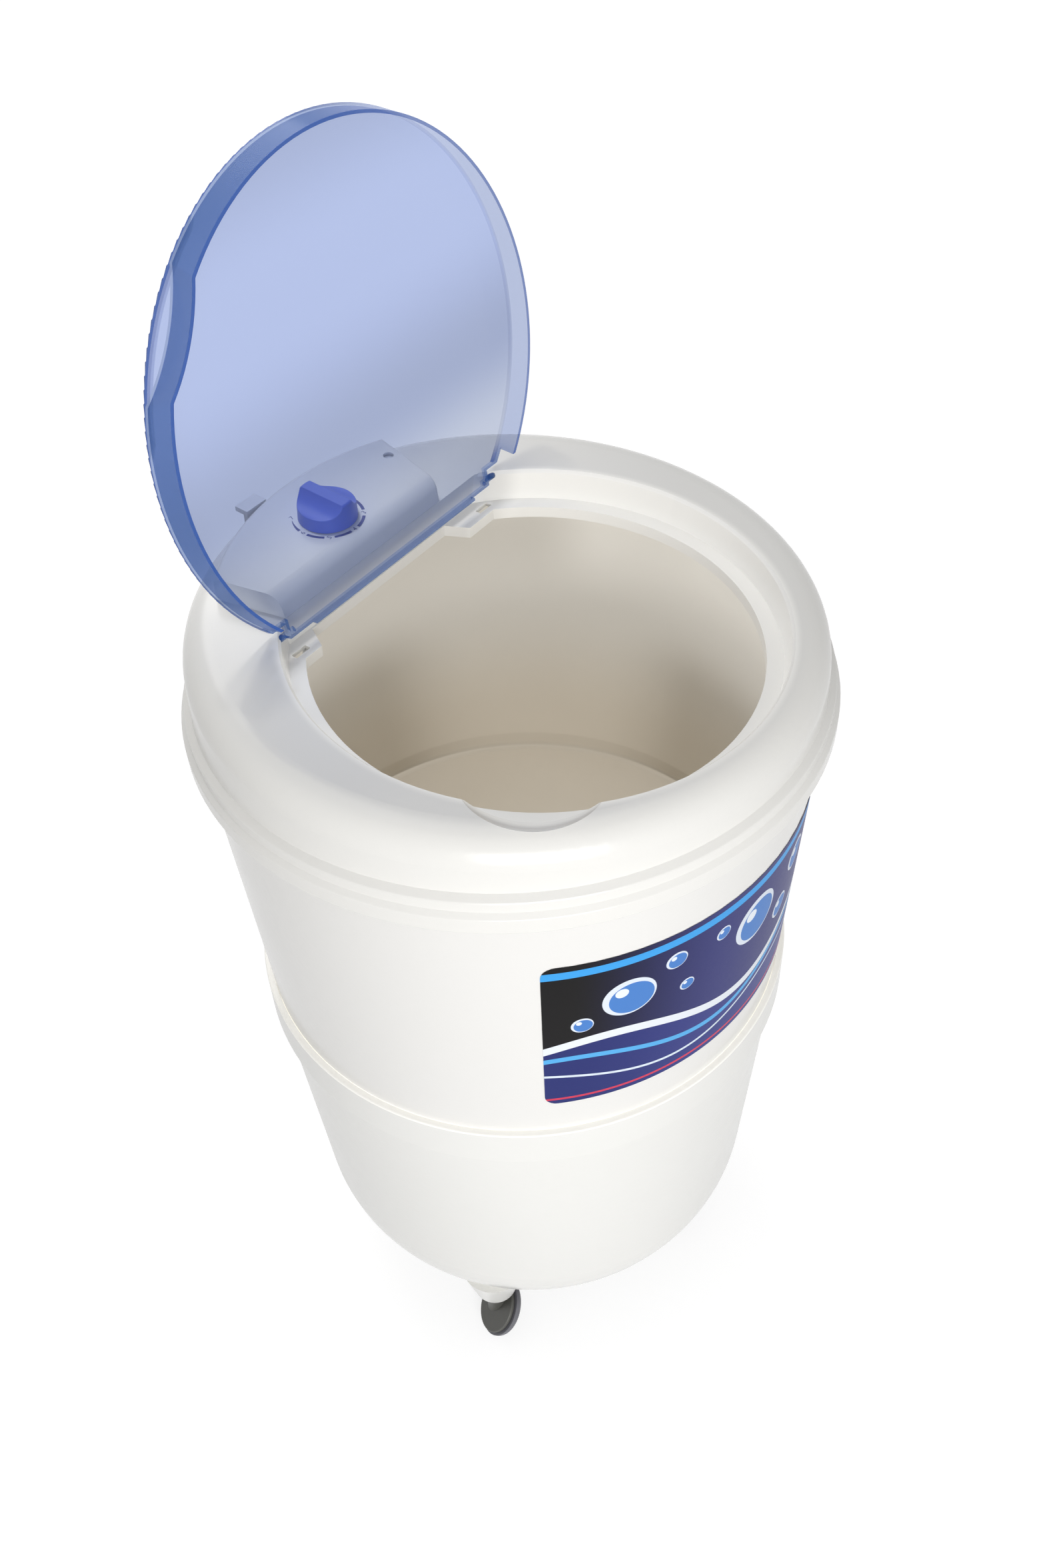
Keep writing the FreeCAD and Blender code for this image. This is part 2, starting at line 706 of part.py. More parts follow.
def lid_corners(name, clearance):
    """Blocks over the lid's two corners beside the hinge, grown by a clearance."""
    span = ("rabbet_radius", f"lid_corner_run + {lid_edge} + ({clearance})", "rabbet_depth")
    low_y = f"-lid_corner_run - ({clearance})"
    left = box(name + "_left", (f"-{lid_side} + ({clearance}) - rabbet_radius", low_y, lid_low), span)
    right = box(name + "_right", (f"{lid_side} - ({clearance})", low_y, lid_low), span)
    return left, right


lid_body = cut("lid_body", lid_plug, *lid_corners("lid_corner", 0))
lid_space = d_solid("lid_space", f"{lid_low_radius} - lid_skirt", f"{lid_top_radius} - lid_skirt", lid_low,
                    "hinge_drop - lid_plate", f"{lid_edge} - lid_skirt", lid_center)
lid_hollow = cut("lid_hollow", lid_space, *lid_corners("lid_inner_corner", "lid_skirt"))
grip_ball = "((grip_width ^ 2 / 4 + grip_depth ^ 2) / (2 * grip_depth))"
grip_far = f"(rabbet_radius - lid_gap - grip_depth + {grip_ball})"
grip_at = [f"{grip_far} * {NOTCH_ALONG[0]}", f"{lid_center} + {grip_far} * {NOTCH_ALONG[1]}", lid_low]
grip_height = "(rabbet_depth - lid_skirt_gap - lid_plate)"
grip_space = cylinder("grip_space", grip_ball, grip_height, grip_at)
grip_round = cylinder("grip_round", f"{grip_ball} + lid_skirt", grip_height, grip_at)
grip_wall = common("grip_wall", lid_body, grip_round)
pin_root = f"({lid_side} - 3 * lid_skirt)"
pins = [along_x(f"pin_{side}", "hinge_pin", "3 * lid_skirt + hinge_pin_reach", (low, 0, 0))
        for side, low in (("left", f"-{lid_side} - hinge_pin_reach"), ("right", pin_root))]
hinge_relief = box("hinge_relief", ("-rabbet_radius", "-lid_hinge_run", lid_low),
                   ("2 * rabbet_radius", f"lid_hinge_run + {lid_edge}", f"-lid_hinge_skirt - {lid_low}"))
pin_reliefs = [box(f"pin_relief_{side}", (low, "-lid_hinge_run", lid_low),
                   ("rabbet_radius", f"lid_hinge_run + {lid_edge}", f"-hinge_pin - {lid_low}"))
               for side, low in (("left", "-lid_skirt_half - rabbet_radius"), ("right", "lid_skirt_half"))]
lid_shell = fuse("lid_shell", cut("lid_tray", lid_body, lid_hollow), grip_wall, *pins)
lid = node("lid", cut("lid_cut", lid_shell, grip_space, hinge_relief, *pin_reliefs))
place(lid, (0, "hinge_y * cos(top_tilt) + hinge_drop * sin(top_tilt)",
            "top_height + hinge_y * sin(top_tilt) - hinge_drop * cos(top_tilt)"), (1, 0, 0),
            "top_tilt - lid_open")

# Control panel: a raised hollow housing behind the hinge, with a sloping front and a screw recess
panel_back = "(panel_back_radius + panel_wall)"
panel_span = "panel_left + panel_right + 2 * panel_splay"
panel_prism = prism("panel_prism", "YZ_Plane", [
    ("panel_front", 0), ("panel_crest", "panel_rise"), (panel_back, "panel_rise"), (panel_back, 0)],
    panel_span)
round_ridge(panel_prism, "panel_crest_round", "panel_crest", "panel_rise")
place(panel_prism, ("-panel_left - panel_splay", 0, 0))


def panel_plan(name, inset):
    """The housing's plan: a straight front and ends that spread towards the back."""
    return prism(name, "XY_Plane", [
        (f"-panel_left + ({inset})", "panel_front"), (f"panel_right - ({inset})", "panel_front"),
        (f"panel_right + panel_splay - ({inset})", panel_back),
        (f"-panel_left - panel_splay + ({inset})", panel_back)], "2 * panel_rise")


panel_arc = cylinder("panel_arc", "panel_back_radius", "2 * panel_rise")
panel_block = common("panel_block", panel_prism, panel_plan("panel_outline_plan", 0), panel_arc)
panel_face = size("panel_rise") - 0.1
back_zone = size("rabbet_chord + panel_back_zone")
panel_soft = round_edges("panel_soft", panel_block, "panel_round",
                         lambda edge: edge.BoundBox.ZMin > panel_face and edge.BoundBox.YMax > back_zone)
hollow_front = "(panel_front + 2 * panel_wall)"
hollow_prism = prism("hollow_prism", "YZ_Plane", [
    (hollow_front, 0), (hollow_front, "panel_rise - panel_crest_round"),
    ("panel_crest + panel_crest_round", "panel_rise - panel_wall"),
    (panel_back, "panel_rise - panel_wall"), (panel_back, 0)], panel_span)
place(hollow_prism, ("-panel_left - panel_splay", 0, 0))
hollow_arc = cylinder("hollow_arc", "panel_back_radius - panel_wall", "2 * panel_rise")
panel_hollow = common("panel_hollow", hollow_prism, panel_plan("panel_hollow_plan", "panel_wall"),
                      hollow_arc)
screw_post = cylinder("screw_post", "screw_head + panel_wall", "panel_rise",
                      ("panel_screw_x", "panel_screw_y", 0))
timer_top = "(panel_rise - panel_wall - timer_post)"
timer_spots = [(f"knob_x + {sign} * timer_screw_x", "knob_y") for sign in (-1, 1)]
timer_posts = [cylinder(f"timer_post_{n}", "timer_post_radius", "timer_post", (x, y, timer_top))
               for n, (x, y) in enumerate(timer_spots)]
panel_hollow_left = cut("panel_hollow_left", panel_hollow, screw_post, *timer_posts)
screw_recess = cylinder("screw_recess", "screw_head + fit_gap", "panel_rise",
                        ("panel_screw_x", "panel_screw_y", "panel_rise - 2 * screw_head_thick"))
screw_way = cylinder("screw_way", "screw_radius", "panel_rise", ("panel_screw_x", "panel_screw_y", 0))
shaft_way = cylinder("shaft_way", "timer_shaft_radius + fit_gap", "2 * panel_rise", ("knob_x", "knob_y", 0))
timer_ways = [cylinder(f"timer_way_{n}", "timer_screw_radius", "panel_rise", (x, y, 0))
              for n, (x, y) in enumerate(timer_spots)]
timer_sinks = [cylinder(f"timer_sink_{n}", "timer_screw_head", "panel_rise",
                        (x, y, "panel_rise - timer_screw_head_thick"))
               for n, (x, y) in enumerate(timer_spots)]
node("control_panel",
     on_top(cut("panel_cut", panel_soft, panel_hollow_left, screw_recess, screw_way, shaft_way,
                                 *timer_ways, *timer_sinks)))
node("panel_screw", on_top(headed("panel_screw_whole", "screw_radius", "screw_length", "screw_head",
                                  "screw_head_thick",
                                  ("panel_screw_x", "panel_screw_y", "panel_rise - 2 * screw_head_thick"))))

# Timer under the panel: body, two screws, shaft and the knob on it
timer_block = box("timer_block",
                  ("knob_x - timer_width / 2", "knob_y - timer_depth / 2", f"{timer_top} - timer_height"),
                  ("timer_width", "timer_depth", "timer_height"))
timer_collar = cylinder("timer_collar", "timer_neck", "timer_post - fit_gap",
                        ("knob_x", "knob_y", timer_top))
timer_bore = cylinder("timer_bore", "timer_shaft_radius + running_gap", "timer_shaft_hold + timer_post",
                      ("knob_x", "knob_y", f"{timer_top} - timer_shaft_hold"))
screw_reach = "(timer_screw_length - panel_wall + timer_screw_head_thick - timer_post)"
timer_taps = [cylinder(f"timer_tap_{n}", "timer_screw_radius", screw_reach,
                       (x, y, f"{timer_top} - {screw_reach}"))
              for n, (x, y) in enumerate(timer_spots)]
timer_whole = fuse("timer_whole", timer_block, timer_collar)
node("timer_body", on_top(cut("timer_cut", timer_whole, timer_bore, *timer_taps)))
node("timer_screws", on_top(group("timer_screw_pair", *[
    headed(f"timer_screw_{n}", "timer_screw_radius", "timer_screw_length", "timer_screw_head",
           "timer_screw_head_thick", (x, y, "panel_rise - timer_screw_head_thick"))
    for n, (x, y) in enumerate(timer_spots)])))
shaft_low = f"({timer_top} - timer_shaft_hold + fit_gap)"
node("timer_shaft",
     cylinder("timer_rod", "timer_shaft_radius", f"panel_rise + timer_shaft_rise - {shaft_low}",
                             top_at("knob_x", "knob_y", shaft_low), (1, 0, 0), "top_tilt"))
knob_base = "(panel_rise + knob_lift)"
knob_top = "(knob_height + knob_ridge)"
knob_disc = revolve("knob_disc", [(0, 0), ("knob_radius", 0), ("knob_top_radius", knob_top), (0, knob_top)])
round_rings(knob_disc, "knob_round", ("knob_top_radius", knob_top))
place(knob_disc, ("knob_x", "knob_y", knob_base))
knob_scoops = [along_y(f"knob_scoop_{n}", "knob_scoop", "4 * knob_radius",
                       (f"knob_x + {sign} * (knob_ridge_width / 2 + knob_scoop)",
                        "knob_y - 2 * knob_radius",
                        f"{knob_base} + knob_height + knob_scoop")) for n, sign in enumerate((-1, 1))]
knob_cut = cut("knob_ridged", knob_disc, *knob_scoops)
knob_dish = size(f"{knob_base} + knob_height") - 0.5
knob_soft = round_edges("knob_softened", knob_cut, "knob_soft", lambda edge: edge.BoundBox.ZMin > knob_dish)
knob_bore = cylinder("knob_bore", "timer_shaft_radius", "timer_shaft_rise - knob_lift",
                     ("knob_x", "knob_y", knob_base))
node("timer_knob", on_top(cut("knob_bored", knob_soft, knob_bore)))

# Bearing housing under the tub floor, with its bushes, seal and bolts
flange_low = f"({TUB_UNDERSIDE} - housing_flange_thick)"
housing_spots = circle_spots("housing_bolt_circle", 4, 45)
bracket_spots = circle_spots("bracket_bolt_circle", 4, 45)
housing_turned = revolve("housing_turned", [
    ("housing_bore", "housing_bottom"), ("housing_foot_radius", "housing_bottom"),
    ("housing_foot_radius", "housing_bottom + housing_flange_thick"),
    ("housing_radius", "housing_bottom + housing_flange_thick"), ("housing_radius", flange_low),
    ("housing_flange_radius", flange_low), ("housing_flange_radius", TUB_UNDERSIDE),
    ("hub_hole", TUB_UNDERSIDE), ("hub_hole", "tub_floor"), ("housing_bore", "tub_floor")])
housing_ways = [cylinder(f"housing_way_{n}", "bolt_radius", "housing_flange_thick", (x, y, flange_low))
                for n, (x, y) in enumerate(housing_spots)]
foot_ways = [cylinder(f"foot_way_{n}", "bolt_radius", "housing_flange_thick", (x, y, "housing_bottom"))
             for n, (x, y) in enumerate(bracket_spots)]
node("bearing_housing", cut("housing_cut", housing_turned, *housing_ways, *foot_ways))
node("housing_screws", group("housing_screw_set", *[
    headed(f"housing_screw_{n}", "bolt_radius", "housing_flange_thick + tub_screw_bite", "bolt_head",
           "bolt_head_thick", (x, y, flange_low), up=False) for n, (x, y) in enumerate(housing_spots)]))
running_bore = "shaft_radius + running_gap"
node("shaft_seal",
     ring("seal_ring", "housing_bore", running_bore, "seal_length", (0, 0, "tub_floor - seal_length")))
node("upper_bush", ring("upper_ring", "housing_bore", running_bore, "bush_length",
                        (0, 0, "tub_floor - seal_length - bush_length")))
node("lower_bush",
     ring("lower_ring", "housing_bore", running_bore, "bush_length", (0, 0, "housing_bottom")))

# Drive shaft with the pulsator on top and the driven pulley below
pulsator_low = "(tub_floor + pulsator_lift)"
tip_hole = cylinder("tip_hole", "bolt_radius", "shaft_rise", (0, 0, f"{SHAFT_TOP} - shaft_rise"))
node("drive_shaft", cut("shaft_cut", cylinder("shaft_rod", "shaft_radius", f"{SHAFT_TOP} - shaft_bottom",
                                              (0, 0, "shaft_bottom")), tip_hole))
pulsator_disc = revolve("pulsator_disc", [
    (0, pulsator_low), ("pulsator_radius", pulsator_low),
    ("pulsator_radius", f"{pulsator_low} + pulsator_thick"),
    ("pulsator_root_radius", f"{pulsator_low} + pulsator_root_height"),
    ("pulsator_hub_radius", f"{pulsator_low} + pulsator_hub_height"),
    (0, f"{pulsator_low} + pulsator_hub_height")])
vanes = []
for number in range(int(size("vane_count"))):
    vane = box(f"vane_{number}", (0, 0, pulsator_low),
               ("pulsator_radius - vane_end", "vane_width", "pulsator_thick + vane_height"))
    vanes.append(place(vane, (0, 0, pulsator_low), (0, 0, 1), f"360 / vane_count * {number}"))
pulsator_bore = cylinder("pulsator_bore", "shaft_radius", f"{SHAFT_TOP} - {pulsator_low}",
                         (0, 0, pulsator_low))
screw_hole = cylinder("screw_hole", "bolt_radius", "pulsator_hub_height", (0, 0, pulsator_low))
node("pulsator",
     cut("pulsator_cut", fuse("pulsator_whole", pulsator_disc, *vanes), pulsator_bore, screw_hole))
hub_top = f"({pulsator_low} + pulsator_hub_height)"
node("pulsator_screw",
     headed("pulsator_screw_whole", "bolt_radius", f"{hub_top} - {SHAFT_TOP} + shaft_rise",
                              "pulsator_screw_head", "bolt_head_thick", (0, 0, hub_top)))
pulley_low = "(pulley_middle - pulley_width / 2)"
pulley_high = "(pulley_middle + pulley_width / 2)"
groove_low = "(pulley_middle - groove_width / 2)"
groove_high = "(pulley_middle + groove_width / 2)"


def pulley(name, pitch, bore, hub, hub_low, hub_high):
    """A grooved pulley whose belt runs at the pitch radius."""
    bottom = f"({pitch} - belt_thick / 2 - belt_gap)"
    rim = f"({pitch} + belt_thick / 2 + belt_gap)"
    return revolve(name, [
        (bore, hub_low), (hub, hub_low), (hub, pulley_low), (rim, pulley_low), (rim, groove_low),
        (bottom, groove_low),
        (bottom, groove_high), (rim, groove_high), (rim, pulley_high), (hub, pulley_high), (hub, hub_high),
        (bore, hub_high)])


hub_low = "(pulley_middle - pulley_hub_height / 2)"
hub_high = "(pulley_middle + pulley_hub_height / 2)"
node("driven_pulley",
     pulley("driven_wheel", "driven_pitch", "shaft_radius", "pulley_hub_radius", hub_low, hub_high))
node("pulley_nut",
     ring("nut_ring", "nut_radius", "shaft_radius", "nut_height", (0, 0, f"{hub_low} - nut_height")))

# Motor hung from a bracket plate under the bearing housing, with its pulley and the belt
bracket_plate = box("bracket_plate", ("-bracket_half_width", "-bracket_front", MOTOR_TOP),
                    ("2 * bracket_half_width", "bracket_front + bracket_back", "bracket_thick"))
motor_spots = [(f"{u} * motor_bolt_offset", f"motor_y + {v} * motor_bolt_offset")
               for u in (-1, 1) for v in (-1, 1)]
bracket_ways = [cylinder(f"bracket_way_{n}", "bolt_radius", "bracket_thick", (x, y, MOTOR_TOP))
                for n, (x, y) in enumerate(motor_spots + bracket_spots)]
center_way = cylinder("center_way", "housing_bore", "bracket_thick", (0, 0, MOTOR_TOP))
stud_way = cylinder("stud_way", "capacitor_stud", "bracket_thick",
                    ("capacitor_x", "capacitor_y", MOTOR_TOP))
node("motor_bracket", cut("bracket_cut", bracket_plate, center_way, stud_way, *bracket_ways))
node("bracket_bolts", group("bracket_bolt_set", *[
    headed(f"bracket_bolt_{n}", "bolt_radius", "bracket_thick + housing_flange_thick", "bolt_head",
           "bolt_head_thick",
           (x, y, MOTOR_TOP), up=False) for n, (x, y) in enumerate(bracket_spots)]))
node("motor_bolts", group("motor_bolt_set", *[
    headed(f"motor_bolt_{n}", "bolt_radius", "motor_bolt_length", "bolt_head", "bolt_head_thick",
           (x, y, BRACKET_TOP))
    for n, (x, y) in enumerate(motor_spots)]))
terminal_low = f"({MOTOR_TOP} - terminal_drop)"
terminal_block = box("terminal_block", ("-terminal_width / 2", "motor_y", terminal_low),
                     ("terminal_width", "motor_radius + terminal_reach", "terminal_height"))
motor_can = cylinder("motor_can", "motor_radius", "motor_height", (0, "motor_y", MOTOR_BOTTOM))
motor_taps = [cylinder(f"motor_tap_{n}", "bolt_radius", "motor_bolt_length - bracket_thick",
                       (x, y, f"{MOTOR_TOP} - motor_bolt_length + bracket_thick"))
              for n, (x, y) in enumerate(motor_spots)]
motor_bore = cylinder("motor_bore", "motor_shaft_radius + running_gap", "motor_shaft_hold",
                      (0, "motor_y", MOTOR_BOTTOM))
node("motor_body",
     cut("motor_cut", fuse("motor_whole", motor_can, terminal_block), motor_bore, *motor_taps))
shaft_end = f"({MOTOR_BOTTOM} + motor_shaft_hold - fit_gap)"
node("motor_shaft", cylinder("motor_rod", "motor_shaft_radius", f"{shaft_end} - {pulley_low}",
                             (0, "motor_y", pulley_low)))
motor_wheel = pulley("motor_wheel", "motor_pitch", "motor_shaft_radius", "motor_hub_radius",
                     "pulley_middle - motor_hub_height / 2", "pulley_middle + motor_hub_height / 2")
node("motor_pulley", place(motor_wheel, (0, "motor_y", 0)))


def belt_loop(offset):
    """The belt's outline round both pulleys, at an offset from the pitch line."""
    big = size("driven_pitch") + offset
    small = size("motor_pitch") + offset
    span = size("motor_y")
    lean = math.asin((big - small) / span)
    side = FreeCAD.Vector(math.cos(lean), math.sin(lean), 0)
    other = FreeCAD.Vector(-side.x, side.y, 0)
    far = FreeCAD.Vector(0, span, 0)
    corners = [side * big, far + side * small, far + other * small, other * big]
    return Part.Wire([
        Part.LineSegment(corners[0], corners[1]).toShape(),
        Part.Arc(corners[1], far + FreeCAD.Vector(0, small, 0), corners[2]).toShape(),
        Part.LineSegment(corners[2], corners[3]).toShape(),
        Part.Arc(corners[3], FreeCAD.Vector(0, -big, 0), corners[0]).toShape()])


belt = doc.addObject("Part::Feature", "belt")
half_belt = size("belt_thick") / 2
belt_up = FreeCAD.Vector(0, 0, size("belt_width"))
belt_inside = Part.Face(belt_loop(-half_belt)).extrude(belt_up)
belt.Shape = Part.Face(belt_loop(half_belt)).extrude(belt_up).cut(belt_inside)
belt.Placement = FreeCAD.Placement(FreeCAD.Vector(0, 0, size("pulley_middle - belt_width / 2")),
                                   FreeCAD.Rotation())
node("drive_belt", belt)

# Capacitor on the bracket
can_low = f"({MOTOR_TOP} - capacitor_height)"
node("capacitor", fuse(
    "capacitor_whole",
    cylinder("capacitor_can", "capacitor_radius", "capacitor_height",
             ("capacitor_x", "capacitor_y", can_low)),
    cylinder("capacitor_pin", "capacitor_stud", "bracket_thick + bolt_head_thick",
             ("capacitor_x", "capacitor_y", MOTOR_TOP))))
node("capacitor_nut", ring("capacitor_ring", "capacitor_nut", "capacitor_stud", "bolt_head_thick",
                           ("capacitor_x", "capacitor_y", BRACKET_TOP)))

# Drain: a strainer in the floor, a gasket and an elbow that ends in the hose spigot at the back
grate = cylinder("grate", "strainer_radius", "strainer_thick", ("drain_x", "drain_y", "tub_floor"))
grate_holes = [cylinder(f"grate_hole_{n}", "strainer_hole", "strainer_thick",
                        (f"drain_x + {x}", f"drain_y + {y}", "tub_floor"))
               for n, (x, y) in enumerate(circle_spots("strainer_circle", 6, 0))]
node("drain_strainer", cut("strainer_cut", grate, *grate_holes))
gasket_low = f"({TUB_UNDERSIDE} - gasket_thick)"
node("drain_gasket", ring("gasket_ring", "drain_flange", "drain_tube", "gasket_thick",
                          ("drain_x", "drain_y", gasket_low)))
drop_low = "(drain_level - drain_tube)"
drop = cylinder("drop", "drain_tube", f"tub_floor - {drop_low}", ("drain_x", "drain_y", drop_low))
drain_collar = cylinder("drain_collar", "drain_flange", "drain_flange_thick",
                        ("drain_x", "drain_y", f"{gasket_low} - drain_flange_thick"))
run = along_y("run", "drain_tube", "spigot_end - spigot_length - drain_y",
              ("drain_x", "drain_y", "drain_level"))
spigot = along_y("spigot", "spigot_radius", "spigot_end - drain_y", ("drain_x", "drain_y", "drain_level"))
drop_bore = cylinder("drop_bore", "drain_bore", "tub_floor - drain_level",
                     ("drain_x", "drain_y", "drain_level"))
run_bore = along_y("run_bore", "drain_bore", "spigot_end - drain_y", ("drain_x", "drain_y", "drain_level"))
elbow_ball = sphere("elbow_ball", "drain_bore", ("drain_x", "drain_y", "drain_level"))
elbow_whole = fuse("elbow_whole", drop, drain_collar, run, spigot)
node("drain_elbow", cut("elbow_cut", elbow_whole, drop_bore, run_bore, elbow_ball))

# Cable duct on the back of the tub, shaped to the tub and the base behind it
duct_front = "(tub_foot_radius - cut_over)"
duct_block = box("duct_block", ("-duct_width / 2", duct_front, "duct_bottom"),
                 ("duct_width", f"duct_back - {duct_front}", "flange_bottom - duct_bottom"))
duct_inside = box("duct_inside",
                  ("-duct_width / 2 + duct_wall", f"{duct_front} - duct_wall", "duct_bottom + duct_wall"),
                  ("duct_width - 2 * duct_wall", f"duct_back - {duct_front}",
                   "flange_bottom - duct_bottom"))
tub_clear = cone("tub_clear", "tub_foot_radius + fit_gap", "tub_top_radius + fit_gap", "tub_top - tub_foot",
                 (0, 0, "tub_foot"))
base_clear = revolve("base_clear",
                     [(0, "base_bottom")] + [(f"{r} + fit_gap", z) for r, z in base_outer[:3]] + [
    ("rim_radius + fit_gap", "rim_top + fit_gap"), (0, "rim_top + fit_gap")])
node("cable_duct", cut("duct_cut", duct_block, duct_inside, tub_clear, base_clear))

# Wires from the timer through the collar and the duct to the motor, in one plane behind the tub
start_y = size("knob_y + timer_depth / 2")
start_h = size(f"{timer_top} - wire_start_drop")
tilt = math.radians(size("top_tilt"))
wire_start = (start_y * math.cos(tilt) - start_h * math.sin(tilt),
              size("top_height") + start_y * math.sin(tilt) + start_h * math.cos(tilt))
first_run = size("wire_first_run")
wire_end = (size("motor_y + motor_radius + terminal_reach"), size(f"{terminal_low} + terminal_height / 2"))
BEND_SHARE = 0.45
RUNS = [
    ("tub_top_radius - wire_turn_in", "tub_top + wire_gap"),
    (f"{tub_outside('flange_bottom')} + wire_gap", "flange_bottom - wire_gap"),
    ("rim_radius + wire_gap", "rim_top + wire_bend"), ("rim_radius + wire_gap", "band_foot - 2 * wire_gap"),
    ("band_foot_radius", "duct_bottom + wire_rise"),
    ("band_foot_radius - wire_bend", "duct_bottom - wire_gap")]
WIRE_ROUTE = [
    wire_start, (wire_start[0] + first_run * math.cos(tilt), wire_start[1] + first_run * math.sin(tilt)),
    *[(size(y), size(z)) for y, z in RUNS], (size("band_foot_radius - wire_set_in"), wire_end[1]), wire_end]


def bent_tube(route, radius):
    """A tube in the YZ plane along straight runs joined by arcs as large as the runs allow."""
    points = [FreeCAD.Vector(0, y, z) for y, z in route]
    edges = []
    here = points[0]
    for before, corner, after in zip(points, points[1:], points[2:]):
        back = before - corner
        onward = after - corner
        shorter = min(back.Length, onward.Length)
        back.normalize()
        onward.normalize()
        reach = BEND_SHARE * shorter
        enter = corner + back * reach
        leave = corner + onward * reach
        half = back.getAngle(onward) / 2
        bend = reach * math.tan(half)
        toward = (back + onward).normalize()
        middle = corner + toward * (math.hypot(bend, reach) - bend)
        edges.append(Part.LineSegment(here, enter).toShape())
        edges.append(Part.Arc(enter, middle, leave).toShape())
        here = leave
    edges.append(Part.LineSegment(here, points[-1]).toShape())
    path = Part.Wire(edges)
    start = points[1] - points[0]
    profile = Part.Wire([Part.Circle(points[0], start, radius).toShape()])
    return path.makePipeShell([profile], True, False)


wire = doc.addObject("Part::Feature", "wire")
wire.Shape = bent_tube(WIRE_ROUTE, size("wire_radius"))
node("wire_harness", wire)

# Gland where the mains cord enters the back of the base
gland_seat = f"({base_outside('gland_level + gland_flange')})"
gland_inner = f"({gland_seat} + gland_flange_thick - gland_length)"
gland_body = along_y("gland_body", "gland_radius", "gland_length", (0, gland_inner, "gland_level"))
gland_disc = along_y("gland_disc", "gland_flange", "gland_flange_thick", (0, gland_seat, "gland_level"))
gland_way = along_y("gland_way", "gland_bore", "gland_length", (0, gland_inner, "gland_level"))
node("cord_gland", cut("gland_cut", fuse("gland_whole", gland_body, gland_disc), gland_way))

# Hook behind the panel for the drain hose
hook_back = "sqrt(panel_back_radius ^ 2 - (hook_x + hook_width / 2) ^ 2)"
hook_plate = box("hook_plate", ("hook_x - hook_width / 2", hook_back, 0),
                 ("hook_width", "hook_thick", "hook_rise"))
hook_lip = box("hook_lip", ("hook_x - hook_width / 2", hook_back, "hook_rise - hook_thick"),
               ("hook_width", "hook_thick + hook_reach", "hook_thick"))
node("hose_hook", on_top(fuse("hook_whole", hook_plate, hook_lip)))

# Cover over the access hole in the base, with its screws
plate_low = "(base_bottom - bottom_cover_thick)"
plate_ways = [cylinder(f"plate_way_{n}", "screw_radius", "bottom_cover_thick", (x, y, plate_low))
              for n, (x, y) in enumerate(bottom_spots)]
node("bottom_cover", cut("bottom_cut", cylinder("bottom_plate", "bottom_cover_radius", "bottom_cover_thick",
                                                (0, 0, plate_low)), *plate_ways))
node("bottom_screws", group("bottom_screw_set", *[
    headed(f"bottom_screw_{n}", "screw_radius", "bottom_cover_thick + base_wall", "screw_head",
           "screw_head_thick",
           (x, y, plate_low), up=False) for n, (x, y) in enumerate(bottom_spots)]))


# Casters: a steel stem, a hood plate on a neck, and a wheel behind the plate on an inclined axle
def on_axle(name, radius, deep, shallow):
    """A drum on the inclined axle, between two depths behind the hood plate's face."""
    at = (f"hood_side - ({deep}) * sin(axle_tilt)", "hood_trail", f"hood_level - ({deep}) * cos(axle_tilt)")
    return cylinder(name, radius, f"{deep} - ({shallow})", at, (0, 1, 0), "axle_tilt")


def caster(number, x, y):
    tag = f"caster_{number + 1}"
    neck_top = "(base_bottom - fit_gap)"
    stem_low = f"({neck_top} - stem_in_hood)"
    plate = on_axle(f"{tag}_plate", "hood_radius", "hood_thick", 0)
    neck = cylinder(f"{tag}_neck", "neck_radius", neck_top)
    behind = on_axle(f"{tag}_behind", "3 * hood_radius", "4 * hood_radius", "hood_thick")
    axle_way = on_axle(f"{tag}_axle_way", "axle_radius", "hood_thick", "hood_thick - axle_bite")
    stem_way = cylinder(f"{tag}_stem_way", "stem_radius", "stem_in_hood", (0, 0, stem_low))
    soft = round_edges(f"{tag}_soft", plate, "hood_round", lambda edge: isinstance(edge.Curve, Part.Circle))
    hood = cut(f"{tag}_hood_cut", fuse(f"{tag}_hood_whole", soft, neck), behind, axle_way, stem_way)
    stem = cylinder(f"{tag}_stem_rod", "stem_radius", "stem_in_hood + fit_gap + stem_in_boss")
    wheel_front = "hood_thick + wheel_gap"
    disc = on_axle(f"{tag}_disc", "wheel_radius", "wheel_deep", wheel_front)
    doc.recompute()
    middle = disc.Shape.CenterOfMass.z
    tread = round_edges(f"{tag}_tread", disc, "wheel_round",
                        lambda edge: isinstance(edge.Curve, Part.Circle) and edge.Curve.Center.z < middle)
    wheel_way = on_axle(f"{tag}_wheel_way", "axle_radius + running_gap", "wheel_deep", wheel_front)
    wheel = cut(f"{tag}_wheel_cut", tread, wheel_way)
    axle = group(f"{tag}_axle_pin",
                 on_axle(f"{tag}_axle_rod", "axle_radius", "wheel_deep", "hood_thick - axle_bite"))
    node(f"{tag}_stem", place(stem, (x, y, stem_low)))
    for kind, piece in (("hood", hood), ("wheel", wheel), ("axle", axle)):
        node(f"{tag}_{kind}", place(piece, (x, y, 0), (0, 0, 1), f"caster_turn_{number + 1}"))


for number, (x, y) in enumerate(caster_spots):
    caster(number, x, y)

# Every object must be sound before anything is written
doc.recompute()
faults = [obj.Name for obj in doc.Objects if {"Invalid", "Error"} & set(obj.State)]
for name, obj in nodes.items():
    shape = obj.Shape
    if shape.isNull() or not shape.isValid() or not shape.Solids:
        faults.append(name)
if faults:
    raise SystemExit("faulty: " + ", ".join(faults))
os.makedirs("parts", exist_ok=True)
for name, obj in nodes.items():
    obj.Shape.exportStep(f"parts/{name}.step")
    print(name, len(obj.Shape.Solids), round(obj.Shape.Volume / 1000, 2))
